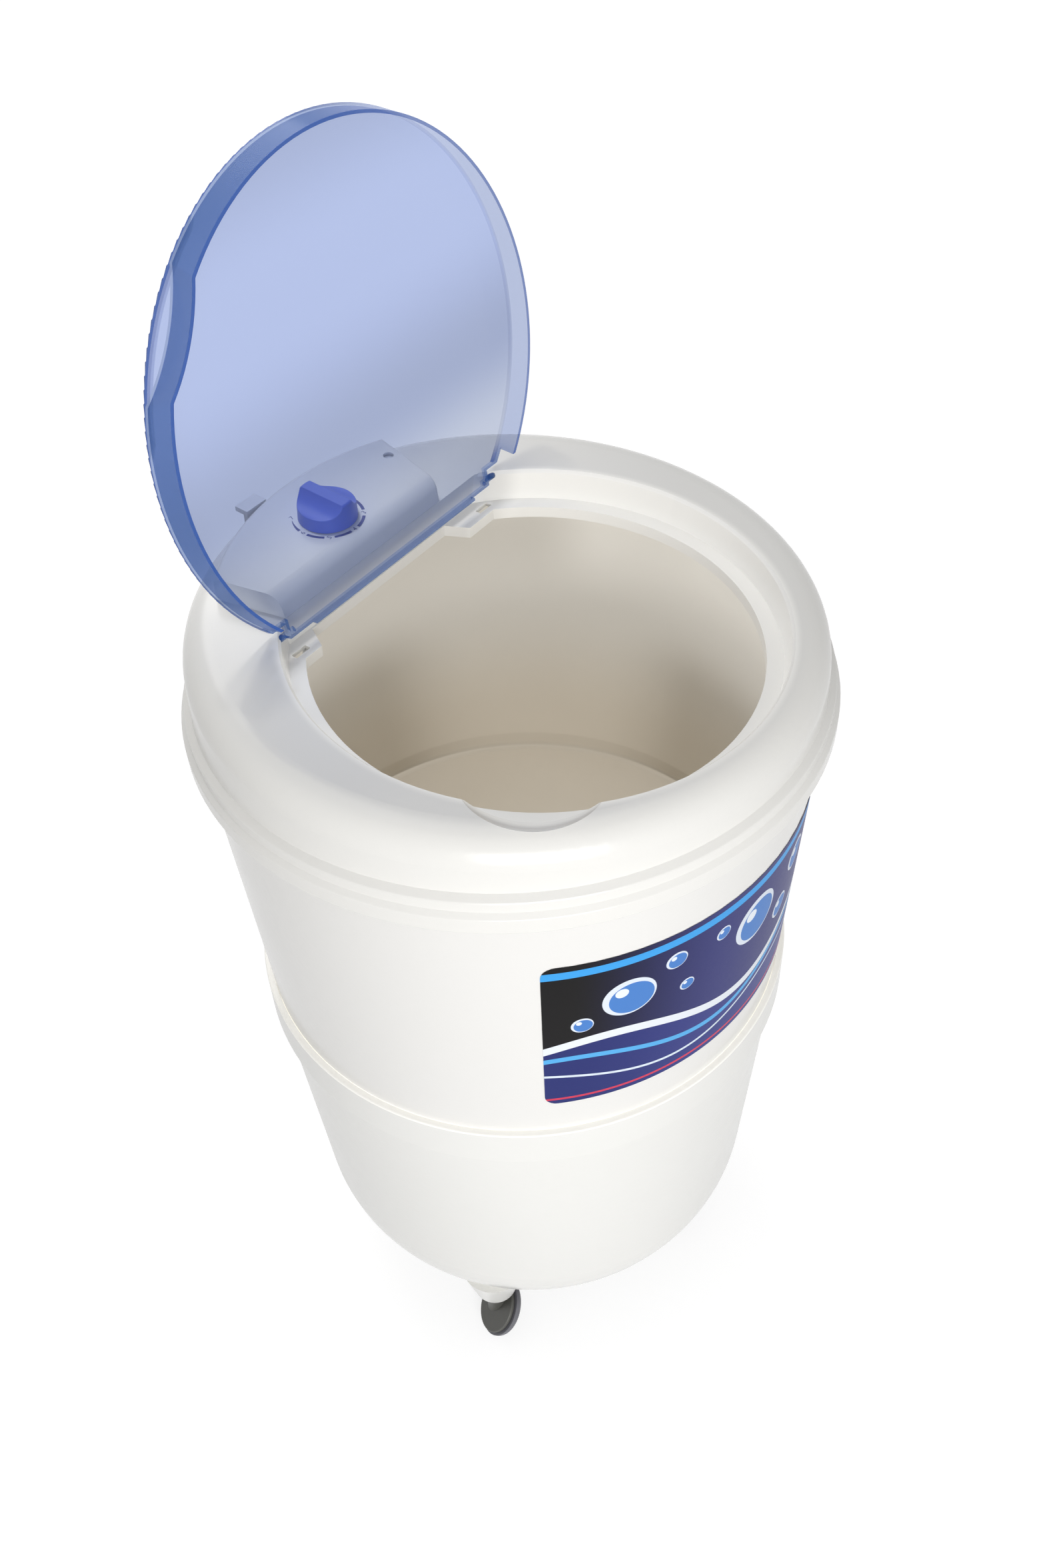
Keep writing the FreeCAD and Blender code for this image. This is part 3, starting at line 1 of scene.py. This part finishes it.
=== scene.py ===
import math
import bpy
import bmesh
from mathutils import Matrix, Vector


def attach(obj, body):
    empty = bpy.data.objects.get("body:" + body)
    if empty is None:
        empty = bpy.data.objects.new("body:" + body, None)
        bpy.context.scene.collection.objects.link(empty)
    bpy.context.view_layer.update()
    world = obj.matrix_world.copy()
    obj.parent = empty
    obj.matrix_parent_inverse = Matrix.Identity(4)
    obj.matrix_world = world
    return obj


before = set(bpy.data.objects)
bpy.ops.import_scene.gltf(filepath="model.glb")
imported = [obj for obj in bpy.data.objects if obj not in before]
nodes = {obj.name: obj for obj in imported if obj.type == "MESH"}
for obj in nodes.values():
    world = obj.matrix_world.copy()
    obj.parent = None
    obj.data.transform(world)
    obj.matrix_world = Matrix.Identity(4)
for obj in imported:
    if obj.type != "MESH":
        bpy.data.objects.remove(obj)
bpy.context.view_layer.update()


# Tub: one deep injection-moulded wall in warm white plastic, with faint flow marks. Its inside is painted darker,
# warmer and streaked, as painted shade. It stands in the base's lip and carries the collar, whose flange grips its
# rim. Its inner wall and the seam at its foot glow with painted light and shade, which stand in for light through
# the thin wall.
class Value:
    """A number that varies over a surface, written in plain arithmetic."""

    def __init__(self, owner, socket):
        self.owner = owner
        self.socket = socket

    def math(self, operation, *terms):
        return self.owner.add("ShaderNodeMath", {"operation": operation}, dict(enumerate(terms)))

    def __add__(self, other):
        return self.math("ADD", self, other)

    def __sub__(self, other):
        return self.math("SUBTRACT", self, other)

    def __rsub__(self, other):
        return self.math("SUBTRACT", other, self)

    def __mul__(self, other):
        return self.math("MULTIPLY", self, other)

    def __pow__(self, other):
        return self.math("POWER", self, other)

    def __gt__(self, other):
        return self.math("GREATER_THAN", self, other)

    def __lt__(self, other):
        return self.math("LESS_THAN", self, other)

    __radd__ = __add__
    __rmul__ = __mul__

    def most(self, other):
        """The larger of two values."""
        return self.math("MAXIMUM", self, other)

    def sine(self):
        return self.math("SINE", self)

    def step(self, low, high):
        """Ramp smoothly from 0 at low to 1 at high."""
        return self.owner.add("ShaderNodeMapRange", {"interpolation_type": "SMOOTHSTEP"},
                              {"Value": self, "From Min": low, "From Max": high})

    def output(self, name):
        """Another output of the node that this value comes from."""
        return Value(self.owner, self.socket.node.outputs[name])


class ShaderTree:
    """A tree of shader nodes."""

    def __init__(self, tree):
        self.tree = tree

    def add(self, kind, settings, inputs, output=0):
        """Add a node: its settings first, then the values or links of its sockets."""
        node = self.tree.nodes.new(kind)
        for name, value in settings.items():
            setattr(node, name, value)
        for name, value in inputs.items():
            if isinstance(value, Value):
                self.tree.links.new(value.socket, node.inputs[name])
            else:
                node.inputs[name].default_value = value
        return Value(self, node.outputs[output])


class Finish(ShaderTree):
    """A material made of nodes round one Principled shader."""

    def __init__(self, name, **constants):
        self.material = bpy.data.materials.new(name)
        self.material.use_nodes = True
        super().__init__(self.material.node_tree)
        self.shader = self.tree.nodes["Principled BSDF"]
        for socket, value in constants.items():
            self.shader.inputs[socket.replace("_", " ")].default_value = value
        self.point = self.add("ShaderNodeTexCoord", {}, {}, "Object")
        axes = self.add("ShaderNodeSeparateXYZ", {}, {0: self.point})
        self.x, self.y, self.z = (axes.output(name) for name in "XYZ")

    def from_axis(self, axis_y=0.0):
        """Distance from an upright axis in the middle plane."""
        across = self.y - axis_y
        return (self.x * self.x + across * across) ** 0.5

    def noise(self, scale, detail=2.0, stretch=None):
        """Soft noise from 0 to 1, finer as the scale grows; stretch squeezes it along the axes."""
        point = self.point
        if stretch:
            point = self.add("ShaderNodeVectorMath", {"operation": "MULTIPLY"}, {0: point, 1: stretch})
        return self.add("ShaderNodeTexNoise", {}, {"Vector": point, "Scale": scale, "Detail": detail})

    def mix(self, factor, low, high):
        """Blend two colours."""
        return self.add("ShaderNodeMix", {"data_type": "RGBA"},
                        {0: factor, 6: low if isinstance(low, Value) else (*low, 1),
                         7: high if isinstance(high, Value) else (*high, 1)}, 2)

    def feed(self, **sockets):
        """Link values to the shader's sockets."""
        for name, value in sockets.items():
            self.tree.links.new(value.socket, self.shader.inputs[name.replace("_", " ")])
        return self

    def bump(self, height, distance):
        """Raise the surface's grain by up to a distance."""
        return self.feed(Normal=self.add("ShaderNodeBump", {}, {"Height": height, "Distance": distance}))

    def let_light_through(self, colour):
        """Painted light: a glow that stands in for light coming through a thin wall of pale plastic."""
        self.shader.inputs["Emission Strength"].default_value = 0.80
        return self.feed(Emission_Color=colour)

    def dress(self, *names):
        """Put the finish on CAD nodes."""
        for name in names:
            slots = nodes[name].material_slots
            if not slots:
                nodes[name].data.materials.append(self.material)
            for slot in slots:
                slot.material = self.material
        return self


def moulded_white(name, colour, warm, roughness):
    """White moulded plastic with slow shifts of tone, fine speckle and a soft skin."""
    finish = Finish(name, IOR=1.5, Specular_IOR_Level=0.34)
    cloud = finish.noise(5.0, 3.0)
    speck = finish.noise(900.0, 1.0)
    finish.white = finish.mix(cloud, colour, warm)
    finish.feed(Base_Color=finish.white)
    finish.feed(Roughness=roughness + 0.08 * finish.noise(38.0, 4.0) + 0.03 * speck)
    return finish.bump(finish.noise(160.0, 2.0) + 0.35 * speck, 0.00006)


no_light = (0, 0, 0)
tub_foot, tub_foot_radius, wall_slope = 0.400, 0.2141, 0.0164 / 0.302
inner_skin = (0.1900, 0.1912)
floor_skin, foot_band_top = (0.4205, 0.4215), (0.4335, 0.4355)
seam_top = 0.4222
back_x, back_y = 0.848, 0.530

tub_finish = moulded_white("tub_white", (0.83, 0.82, 0.80), (0.80, 0.79, 0.765), 0.14)
wall_inside = 1 - (tub_finish.from_axis() - wall_slope * tub_finish.z).step(*inner_skin)
upper_wall = tub_finish.z.step(0.46, 0.60)
# Painted shade: inside the tub the white is darker and warmer, streaked with soft noise and lightest on the upper
# wall.
streaks = tub_finish.noise(9.0, 4.0, stretch=(1, 1, 0.35))
inside_shade = tub_finish.mix(streaks, (0.70, 0.65, 0.565), (0.62, 0.565, 0.475))
inside_shade = tub_finish.mix(upper_wall, inside_shade, (0.74, 0.715, 0.665))
tub_finish.feed(Base_Color=tub_finish.mix(wall_inside, tub_finish.white, inside_shade))

# Painted light and shade on the inner wall: its glow is weakest low down at the sides, high up at the back and in
# a band at the wall's foot, and strongest high up at the right.
to_back = back_x * tub_finish.x + back_y * tub_finish.y
floor_top = 1 - tub_finish.z.step(*floor_skin)
foot_band = (1 - floor_top) * (1 - tub_finish.z.step(*foot_band_top))
high_back = to_back.step(0.150, 0.215) * tub_finish.z.step(0.60, 0.67)
low_side = (1 - to_back.step(0.165, 0.214)) * (1 - tub_finish.z.step(0.53, 0.60)) * (1 - floor_top)
high_side = tub_finish.z.step(0.585, 0.66) * (1 - tub_finish.y.step(0.06, 0.125))
share = 0.58 - 0.11 * foot_band - 0.30 * high_back - 0.46 * low_side + 0.50 * high_side
painted_wall_glow = tub_finish.mix(upper_wall, (0.387, 0.356, 0.306), (0.414, 0.405, 0.382))
painted_wall_glow = tub_finish.mix(wall_inside * share, no_light, painted_wall_glow)
# Painted light: the tub's outside below the base's lip glows, so that the seam's shade shows only as a thin line.
seam = (1 - wall_inside) * (tub_finish.z < seam_top)
tub_finish.let_light_through(tub_finish.mix(seam, painted_wall_glow, (0.58, 0.55, 0.48)))
tub_finish.dress("tub")

# Front label: a printed vinyl film with rounded corners, stuck on the tub's wall above the seam.
# It lies on the wall all over and carries plain waves and bubbles under a satin coat.
label_low, label_high = 0.458, 0.628
label_from, label_to = math.radians(221.1), math.radians(316.5)
label_radius, label_corner, label_thick = 0.222, 0.010, 0.0003
label_columns, label_rows, corner_columns = 150, 24, 6
label_wide = (label_to - label_from) * label_radius
label_tall = label_high - label_low


def wall_point(angle, height, lift):
    """A point over the tub's outer wall, which widens towards the top."""
    radius = tub_foot_radius + (height - tub_foot) * wall_slope + lift
    return Vector((radius * math.cos(angle), radius * math.sin(angle), height))


def inset(distance):
    """How far a side pulls in near the label's rounded corners."""
    if distance >= label_corner:
        return 0.0
    return label_corner - math.sqrt(label_corner ** 2 - (label_corner - distance) ** 2)


def add_mesh(name, shape):
    """Turn a finished bmesh into an object of the scene."""
    mesh = bpy.data.meshes.new(name)
    shape.to_mesh(mesh)
    shape.free()
    piece = bpy.data.objects.new(name, mesh)
    bpy.context.collection.objects.link(piece)
    return piece


label_shape = bmesh.new()
uv = label_shape.loops.layers.uv.new("film")
corner_steps = [label_corner * (1 - math.cos(math.pi / 2 * n / corner_columns)) for n in range(corner_columns + 1)]
straight = label_wide - 2 * label_corner
across = corner_steps + [label_corner + straight * n / label_columns for n in range(1, label_columns)]
across += [label_wide - step for step in reversed(corner_steps)]
grid = []
for u in across:
    trim = inset(min(u, label_wide - u))
    column = []
    for row in range(label_rows + 1):
        v = trim + (label_tall - 2 * trim) * row / label_rows
        spot = label_shape.verts.new(wall_point(label_from + u / label_radius, label_low + v, label_thick))
        column.append((spot, (u, v)))
    grid.append(column)
for left, right in zip(grid, grid[1:]):
    for row in range(label_rows):
        corners = (left[row], right[row], right[row + 1], left[row + 1])
        face = label_shape.faces.new([corner[0] for corner in corners])
        face.smooth = True
        for loop, corner in zip(face.loops, corners):
            loop[uv].uv = corner[1]
label = add_mesh("front_label", label_shape)

film = Finish("label_film", IOR=1.4, Specular_IOR_Level=0.12)
film_uv = film.add("ShaderNodeUVMap", {"uv_map": "film"}, {})
along = film.add("ShaderNodeSeparateXYZ", {}, {0: film_uv})
up = along.output("Y")
ink_edge = 0.0003


def wave(base, height, shift):
    """Height of a printed wave along the label."""
    wave_length = 0.25
    return base + height * (along * (2 * math.pi / wave_length) + shift).sine()


def band(line, thick):
    """1 from a line to a height over it, with crisp printed edges."""
    off = up - line
    return off.step(-ink_edge, 0.0) * (1 - off.step(thick, thick + ink_edge))


def disc(u, v, radius):
    """1 inside a printed disc."""
    gap = film.add("ShaderNodeVectorMath", {"operation": "DISTANCE"}, {0: film_uv, 1: (u, v, 0)}, 1)
    return 1 - gap.step(radius, radius + ink_edge)


ink = film.mix(along.step(0.02, 0.15), (0.005, 0.0045, 0.005), (0.034, 0.038, 0.17))
swell = wave(0.060, 0.015, 0.4)
ink = film.mix((up < swell) * 0.6, ink, (0.032, 0.045, 0.25))
ink = film.mix(band(swell, 0.0085), ink, (0.80, 0.84, 0.90))
ink = film.mix(band(wave(0.044, 0.012, 1.1), 0.0052), ink, (0.10, 0.42, 0.80))
ink = film.mix(band(wave(0.027, 0.010, 1.9), 0.0024), ink, (0.70, 0.78, 0.88))
ink = film.mix(band(0.1565, 0.0075), ink, (0.055, 0.36, 0.80))
ink = film.mix(band(0.0050, 0.0022), ink, (0.62, 0.05, 0.10))
bubbles = ((0.062, 0.118, 0.0200), (0.097, 0.139, 0.0085), (0.028, 0.098, 0.0080), (0.108, 0.104, 0.0060),
           (0.176, 0.121, 0.0230), (0.217, 0.094, 0.0110), (0.236, 0.133, 0.0140), (0.290, 0.113, 0.0210),
           (0.330, 0.133, 0.0090), (0.138, 0.138, 0.0065))
for u, v, size in bubbles:
    ring = disc(u, v, size)
    core = disc(u + size * 0.08, v - size * 0.08, size * 0.84)
    gleam = disc(u - size * 0.3, v + size * 0.34, size * 0.24)
    ink = film.mix(ring, ink, (0.74, 0.80, 0.90))
    ink = film.mix(core, ink, (0.075, 0.22, 0.58))
    ink = film.mix(gleam, ink, (0.82, 0.87, 0.94))
film.feed(Base_Color=ink, Roughness=0.34 + 0.08 * film.noise(400.0))
label.data.materials.append(film.material)
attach(label, "machine")

# Base: a bowl moulded in the same white plastic, with a band and a lip round its rim where the tub is seated.
# It holds the drive, and the thin top of its lip glows with painted light, which lightens the shade in the seam.
# The duct up the tub's back, which covers the wires, is of the same plastic.
base_finish = moulded_white("base_white", (0.845, 0.84, 0.815), (0.815, 0.81, 0.78), 0.18)
lip_edge, lip_top, lip_radius = (0.4202, 0.4214), 0.4225, 0.2214
# Painted light: a faint glow on the thin top edge of the lip.
thin_edge = base_finish.z.step(*lip_edge) * (base_finish.z < lip_top) * (base_finish.from_axis() < lip_radius)
base_finish.let_light_through(base_finish.mix(thin_edge, no_light, (0.26, 0.25, 0.225)))
base_finish.dress("base", "cable_duct")

# Collar: the slanted top ring, moulded in one piece with the ledge, lugs and finger notch, and pressed over the
# tub's rim. The panel behind the hinge and the hook on its back are of the same plastic. The thin lip round the
# mouth glows faintly with painted light.
collar_finish = moulded_white("collar_white", (0.835, 0.825, 0.795), (0.80, 0.79, 0.76), 0.16)
mouth_y, lip_outside, before_hinge = -0.027, (0.176, 0.184), (0.085, 0.100)
# Painted light: a faint glow on the lip round the mouth, short of the hinge.
thin_lip = 1 - collar_finish.from_axis(mouth_y).step(*lip_outside)
thin_lip = thin_lip * (1 - collar_finish.y.step(*before_hinge))
collar_finish.let_light_through(collar_finish.mix(thin_lip, no_light, (0.20, 0.195, 0.18)))
collar_finish.dress("top_cover", "control_panel", "hose_hook")

# Lid: clear blue plastic, moulded in one piece with its skirt, hinge pins and the set-back grip.
# It is tinted through its depth, so that its skirt and edges look much deeper than the thin plate.
top_tilt, lid_open = math.radians(2.84), math.radians(101.0)
hinge_y, hinge_z, hinge_to_middle = 0.103541, 0.756232, 0.1305
plate_skin, free_edge = (0.0004, 0.0009), (-0.0184, -0.0180)
rim_line, grip_line = (0.1738, 0.1744), (0.1693, 0.1703)
grip_reach, grip_x, grip_from = 0.573, 0.820, 0.158

lid_finish = Finish("lid_blue", IOR=1.49, Specular_IOR_Level=0.2)
lean = lid_open - top_tilt
over_y, over_z = lid_finish.y - hinge_y, lid_finish.z - hinge_z
reach = over_z * math.sin(lean) - over_y * math.cos(lean) - hinge_to_middle
depth = over_y * math.sin(lean) + over_z * math.cos(lean)
from_middle = (lid_finish.x * lid_finish.x + reach * reach) ** 0.5
# Painted sheen: the plate is paler and clearer in a band across its middle, and darker below it and near the top.
painted_sheen = reach.step(-0.03, 0.06) * (1 - 0.75 * reach.step(0.10, 0.175))
by_hinge = 1 - reach.step(-0.10, -0.03)
on_plate = depth.step(*plate_skin)
skirt = 1 - on_plate
# Painted light: on the lid's right side the skirt and rim are lighter and clearer.
painted_light_right = lid_finish.x.step(0.0, 0.09) * reach.step(-0.122, -0.105)
at_grip = (grip_reach * reach - grip_x * lid_finish.x) > grip_from
rim = from_middle.step(*rim_line).most(at_grip * from_middle.step(*grip_line) * 0.45)
rim = on_plate * rim * (1 - 0.75 * painted_light_right)
edge = (1 - depth.step(*free_edge)).most(rim)

tint = lid_finish.mix(painted_sheen, (0.135, 0.155, 0.245), (0.22, 0.275, 0.57))
skirt_tint = lid_finish.mix(painted_light_right, (0.055, 0.155, 0.40), (0.24, 0.28, 0.47))
tint = lid_finish.mix(skirt, tint, skirt_tint)
lid_finish.feed(Base_Color=lid_finish.mix(edge, tint, (0.030, 0.105, 0.42)))
lid_finish.feed(Roughness=0.17 + 0.04 * lid_finish.noise(22.0, 2.0))
plate = 0.12 + 0.11 * (1 - painted_sheen) - 0.08 * by_hinge + 0.02 * lid_finish.noise(3.0)
opacity = plate + skirt * (0.38 - 0.19 * painted_light_right - plate)
opacity = opacity + edge * (0.78 - 0.10 * painted_light_right - opacity)
deep = lid_finish.add("ShaderNodeBsdfTransparent", {}, {"Color": (0.745, 0.80, 0.945, 1)})
thin = lid_finish.add("ShaderNodeBsdfTransparent", {}, {"Color": (0.85, 0.885, 0.965, 1)})
thinness = by_hinge * (1 - skirt) + 0.5 * painted_light_right * skirt
clear = lid_finish.add("ShaderNodeMixShader", {}, {0: thinness, 1: deep, 2: thin})
tinted = Value(lid_finish, lid_finish.shader.outputs[0])
blend = lid_finish.add("ShaderNodeMixShader", {}, {0: opacity, 1: clear, 2: tinted})
lid_finish.tree.links.new(blend.socket, lid_finish.tree.nodes["Material Output"].inputs["Surface"])
lid_finish.dress("lid")

# Timer knob: a round grip with a raised bar across it, moulded in solid blue plastic with a satin skin.
# It is pushed on the timer's shaft, which comes up through the panel.
knob_finish = Finish("knob_blue", IOR=1.5)
knob_finish.feed(Base_Color=knob_finish.mix(knob_finish.noise(40.0), (0.085, 0.15, 0.66), (0.07, 0.13, 0.60)))
knob_finish.feed(Roughness=0.32 + 0.1 * knob_finish.noise(120.0))
knob_finish.dress("timer_knob")

# Dial print: plain numbers with arc marks between them, the last arc tapering off towards the end of the scale.
# They are screen printed in dark blue ink on the sloping panel, round the knob.
collar_top = 0.7545
dial_x, dial_y, dial_rise = -0.015, 0.150, 0.01803
print_radius, number_size = 0.0262, 0.0056
last_number, first_angle, number_pitch = 7, 46, 45.5
arc_gap, arc_sweep, arc_steps = 8, 29.5, 16
arc_thick, arc_tip = 0.0024, 0.0004

print_shape = bmesh.new()
for number in range(1, last_number + 1):
    angle = math.radians(first_angle - number_pitch * (number - 1))
    curve = bpy.data.curves.new(f"dial_number_{number}", "FONT")
    curve.body = str(number)
    curve.size = number_size
    curve.align_x, curve.align_y = "CENTER", "CENTER"
    lettering = bpy.data.objects.new(f"dial_number_{number}", curve)
    bpy.context.collection.objects.link(lettering)
    bpy.context.view_layer.update()
    flat = bpy.data.meshes.new_from_object(lettering.evaluated_get(bpy.context.evaluated_depsgraph_get()))
    flat.transform(Matrix.Translation((print_radius * math.cos(angle), print_radius * math.sin(angle), 0)))
    print_shape.from_mesh(flat)
    bpy.data.objects.remove(lettering)
    bpy.data.meshes.remove(flat)
    if number == last_number:
        continue
    arc_end = arc_tip if number == last_number - 1 else arc_thick
    rows = []
    for n in range(arc_steps + 1):
        turn = angle - math.radians(arc_gap + arc_sweep * n / arc_steps)
        thick = arc_thick + (arc_end - arc_thick) * n / arc_steps
        rows.append([print_shape.verts.new((radius * math.cos(turn), radius * math.sin(turn), 0))
                     for radius in (print_radius - thick / 2, print_radius + thick / 2)])
    for low, high in zip(rows, rows[1:]):
        print_shape.faces.new((low[0], high[0], high[1], low[1]))
bmesh.ops.recalc_face_normals(print_shape, faces=print_shape.faces)
for face in print_shape.faces:
    if face.normal.z < 0:
        face.normal_flip()
dial_print = add_mesh("dial_print", print_shape)
panel_slope = Matrix.Translation((0, 0, collar_top)) @ Matrix.Rotation(top_tilt, 4, "X")
dial_print.data.transform(panel_slope @ Matrix.Translation((dial_x, dial_y, dial_rise)))
dial_ink = Finish("dial_ink", IOR=1.5)
dial_ink.feed(Base_Color=dial_ink.mix(dial_ink.noise(600.0), (0.030, 0.042, 0.21), (0.040, 0.052, 0.25)))
dial_ink.feed(Roughness=0.45 + 0.1 * dial_ink.noise(900.0))
dial_print.data.materials.append(dial_ink.material)
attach(dial_print, "machine")

# Drive, fasteners and fittings: zinc-plated steel, castings, rubber and plain plastics, which show under
# the machine or inside it. Most are bought-in pieces held by screws.
casters = range(1, 5)
steel = Finish("zinc_steel", Metallic=1.0)
steel.feed(Base_Color=steel.mix(steel.noise(90.0), (0.62, 0.63, 0.65), (0.5, 0.51, 0.53)))
steel.feed(Roughness=0.3 + 0.2 * steel.noise(200.0, stretch=(1, 1, 8)))
steel.dress("panel_screw", "timer_screws", "timer_shaft", "housing_screws", "drive_shaft", "pulsator_screw",
            "pulley_nut", "bracket_bolts", "motor_bolts", "motor_shaft", "capacitor_nut", "bottom_screws",
            *[f"caster_{n}_{kind}" for n in casters for kind in ("stem", "axle")])


def plain_finish(name, tone, other, roughness, grain, **constants):
    """A plain moulded, cast or painted surface whose tone and gloss shift a little from spot to spot."""
    finish = Finish(name, **constants)
    finish.feed(Base_Color=finish.mix(finish.noise(70.0, 3.0), tone, other))
    finish.feed(Roughness=roughness + 0.12 * finish.noise(160.0, 3.0))
    return finish.bump(finish.noise(grain, 2.0), 0.0001)


castings = plain_finish("cast_aluminium", (0.56, 0.57, 0.58), (0.47, 0.48, 0.49), 0.42, 700.0, Metallic=1.0)
castings.dress("motor_body", "motor_pulley", "driven_pulley")
enamel = plain_finish("black_enamel", (0.020, 0.020, 0.022), (0.030, 0.030, 0.032), 0.30, 300.0)
enamel.dress("motor_bracket")
bronze = plain_finish("sintered_bronze", (0.50, 0.31, 0.12), (0.42, 0.25, 0.10), 0.42, 1500.0, Metallic=1.0)
bronze.dress("upper_bush", "lower_bush")
rubber = plain_finish("black_rubber", (0.016, 0.016, 0.016), (0.026, 0.026, 0.026), 0.62, 1200.0)
rubber.dress("drive_belt", "shaft_seal", "drain_gasket", "wire_harness", "cord_gland")
grey = plain_finish("grey_plastic", (0.20, 0.21, 0.22), (0.165, 0.17, 0.18), 0.44, 900.0)
grey.dress("bearing_housing", "capacitor", "drain_elbow", "bottom_cover")
cream = plain_finish("cream_plastic", (0.70, 0.65, 0.52), (0.64, 0.59, 0.46), 0.48, 900.0)
cream.dress("timer_body", "drain_strainer")

# Casters: a grey plastic hood plate on a neck, which swivels on a steel stem under each boss of the base,
# and a paler plastic wheel behind the plate that leans on its axle.
hood_finish = plain_finish("caster_grey", (0.092, 0.092, 0.082), (0.076, 0.076, 0.068), 0.36, 900.0)
hood_finish.dress(*[f"caster_{n}_hood" for n in casters])
wheel_finish = plain_finish("wheel_grey", (0.150, 0.150, 0.168), (0.125, 0.125, 0.142), 0.40, 900.0)
wheel_finish.dress(*[f"caster_{n}_wheel" for n in casters])

# Pulsator: the ribbed disc that stirs the water on the tub's floor, moulded in the same white plastic
# and held on the drive shaft by one screw.
pulsator_finish = moulded_white("pulsator_white", (0.80, 0.79, 0.76), (0.76, 0.75, 0.72), 0.28)
pulsator_finish.dress("pulsator")

# Studio: a pale floor and sky that look plain white and keep the machine's shadow, three soft boxes, a narrow
# spot on the panel, and the camera at eye height in front of the machine's left side.
floor_half, floor_tone, sky_light = 30.0, 0.38, 0.38


def seen_rays(tree):
    """1 for rays from the camera, through clear plastic or off a glossy surface."""
    rays = tree.add("ShaderNodeLightPath", {}, {}, "Is Camera Ray")
    return rays.most(rays.output("Is Transmission Ray")).most(rays.output("Is Glossy Ray"))


floor_shape = bmesh.new()
bmesh.ops.create_grid(floor_shape, x_segments=1, y_segments=1, size=floor_half)
floor = add_mesh("studio_floor", floor_shape)
floor_finish = Finish("studio_white", Roughness=0.9, Base_Color=(floor_tone, floor_tone, floor_tone, 1),
                      Emission_Color=(1, 1, 1, 1))
floor_light = 0.74 + 0.12 * floor_finish.from_axis().step(0.8, 3.0)
floor_finish.feed(Emission_Strength=floor_light * seen_rays(floor_finish))
floor.data.materials.append(floor_finish.material)

world = bpy.data.worlds.new("studio")
world.use_nodes = True
bpy.context.scene.world = world
sky = ShaderTree(world.node_tree)
background = sky.tree.nodes["Background"]
background.inputs["Color"].default_value = (1, 1, 1, 1)
sky_level = sky.add("ShaderNodeMapRange", {}, {"Value": seen_rays(sky), "To Min": sky_light, "To Max": 1.0})
sky.tree.links.new(sky_level.socket, background.inputs["Strength"])


def hang_lamp(name, kind, at, aim, power, **settings):
    """Hang a lamp in the studio and point it at a spot."""
    lamp = bpy.data.lights.new(name, kind)
    lamp.energy = power
    for setting, value in settings.items():
        setattr(lamp, setting, value)
    holder = bpy.data.objects.new(name, lamp)
    holder.location = at
    holder.rotation_euler = (Vector(aim) - Vector(at)).to_track_quat("-Z", "Y").to_euler()
    bpy.context.collection.objects.link(holder)


hang_lamp("key_box", "AREA", (-1.66, -1.72, 0.98), (0, 0, 0.5), 45, shape="RECTANGLE", size=1.6, size_y=1.3)
hang_lamp("back_box", "AREA", (0.7, 1.5, 1.9), (0, 0.12, 0.76), 8, shape="RECTANGLE", size=1.0, size_y=1.0)
hang_lamp("top_box", "AREA", (0.3, 0.4, 2.6), (0, 0, 0.6), 7, shape="RECTANGLE", size=1.6, size_y=1.6)
hang_lamp("panel_snoot", "SPOT", (0.10, 0.55, 2.30), (0, 0.155, 0.77), 45,
          spot_size=math.radians(13), spot_blend=0.7, shadow_soft_size=0.12)

focal_pixels, frame_pixels, sensor = 2271.17, 2352, 36.0
camera_data = bpy.data.cameras.new("photo_camera")
camera_data.sensor_fit = "AUTO"
camera_data.sensor_width = sensor
camera_data.lens = focal_pixels / frame_pixels * sensor
camera_data.clip_end = 100.0
camera = bpy.data.objects.new("photo_camera", camera_data)
camera_at = (-0.65705544, -0.53056603, 1.40869)
rightward = Vector((0.593857, -0.80371101, -0.03718168))
downward = Vector((-0.58081255, -0.39626245, -0.71107866))
ahead = Vector((0.55676804, 0.44387463, -0.70212867))
camera_turn = Matrix((rightward, -downward, -ahead)).transposed()
camera.matrix_world = Matrix.Translation(camera_at) @ camera_turn.to_4x4()
bpy.context.collection.objects.link(camera)
bpy.context.scene.camera = camera
bpy.context.scene.view_settings.view_transform = "Standard"
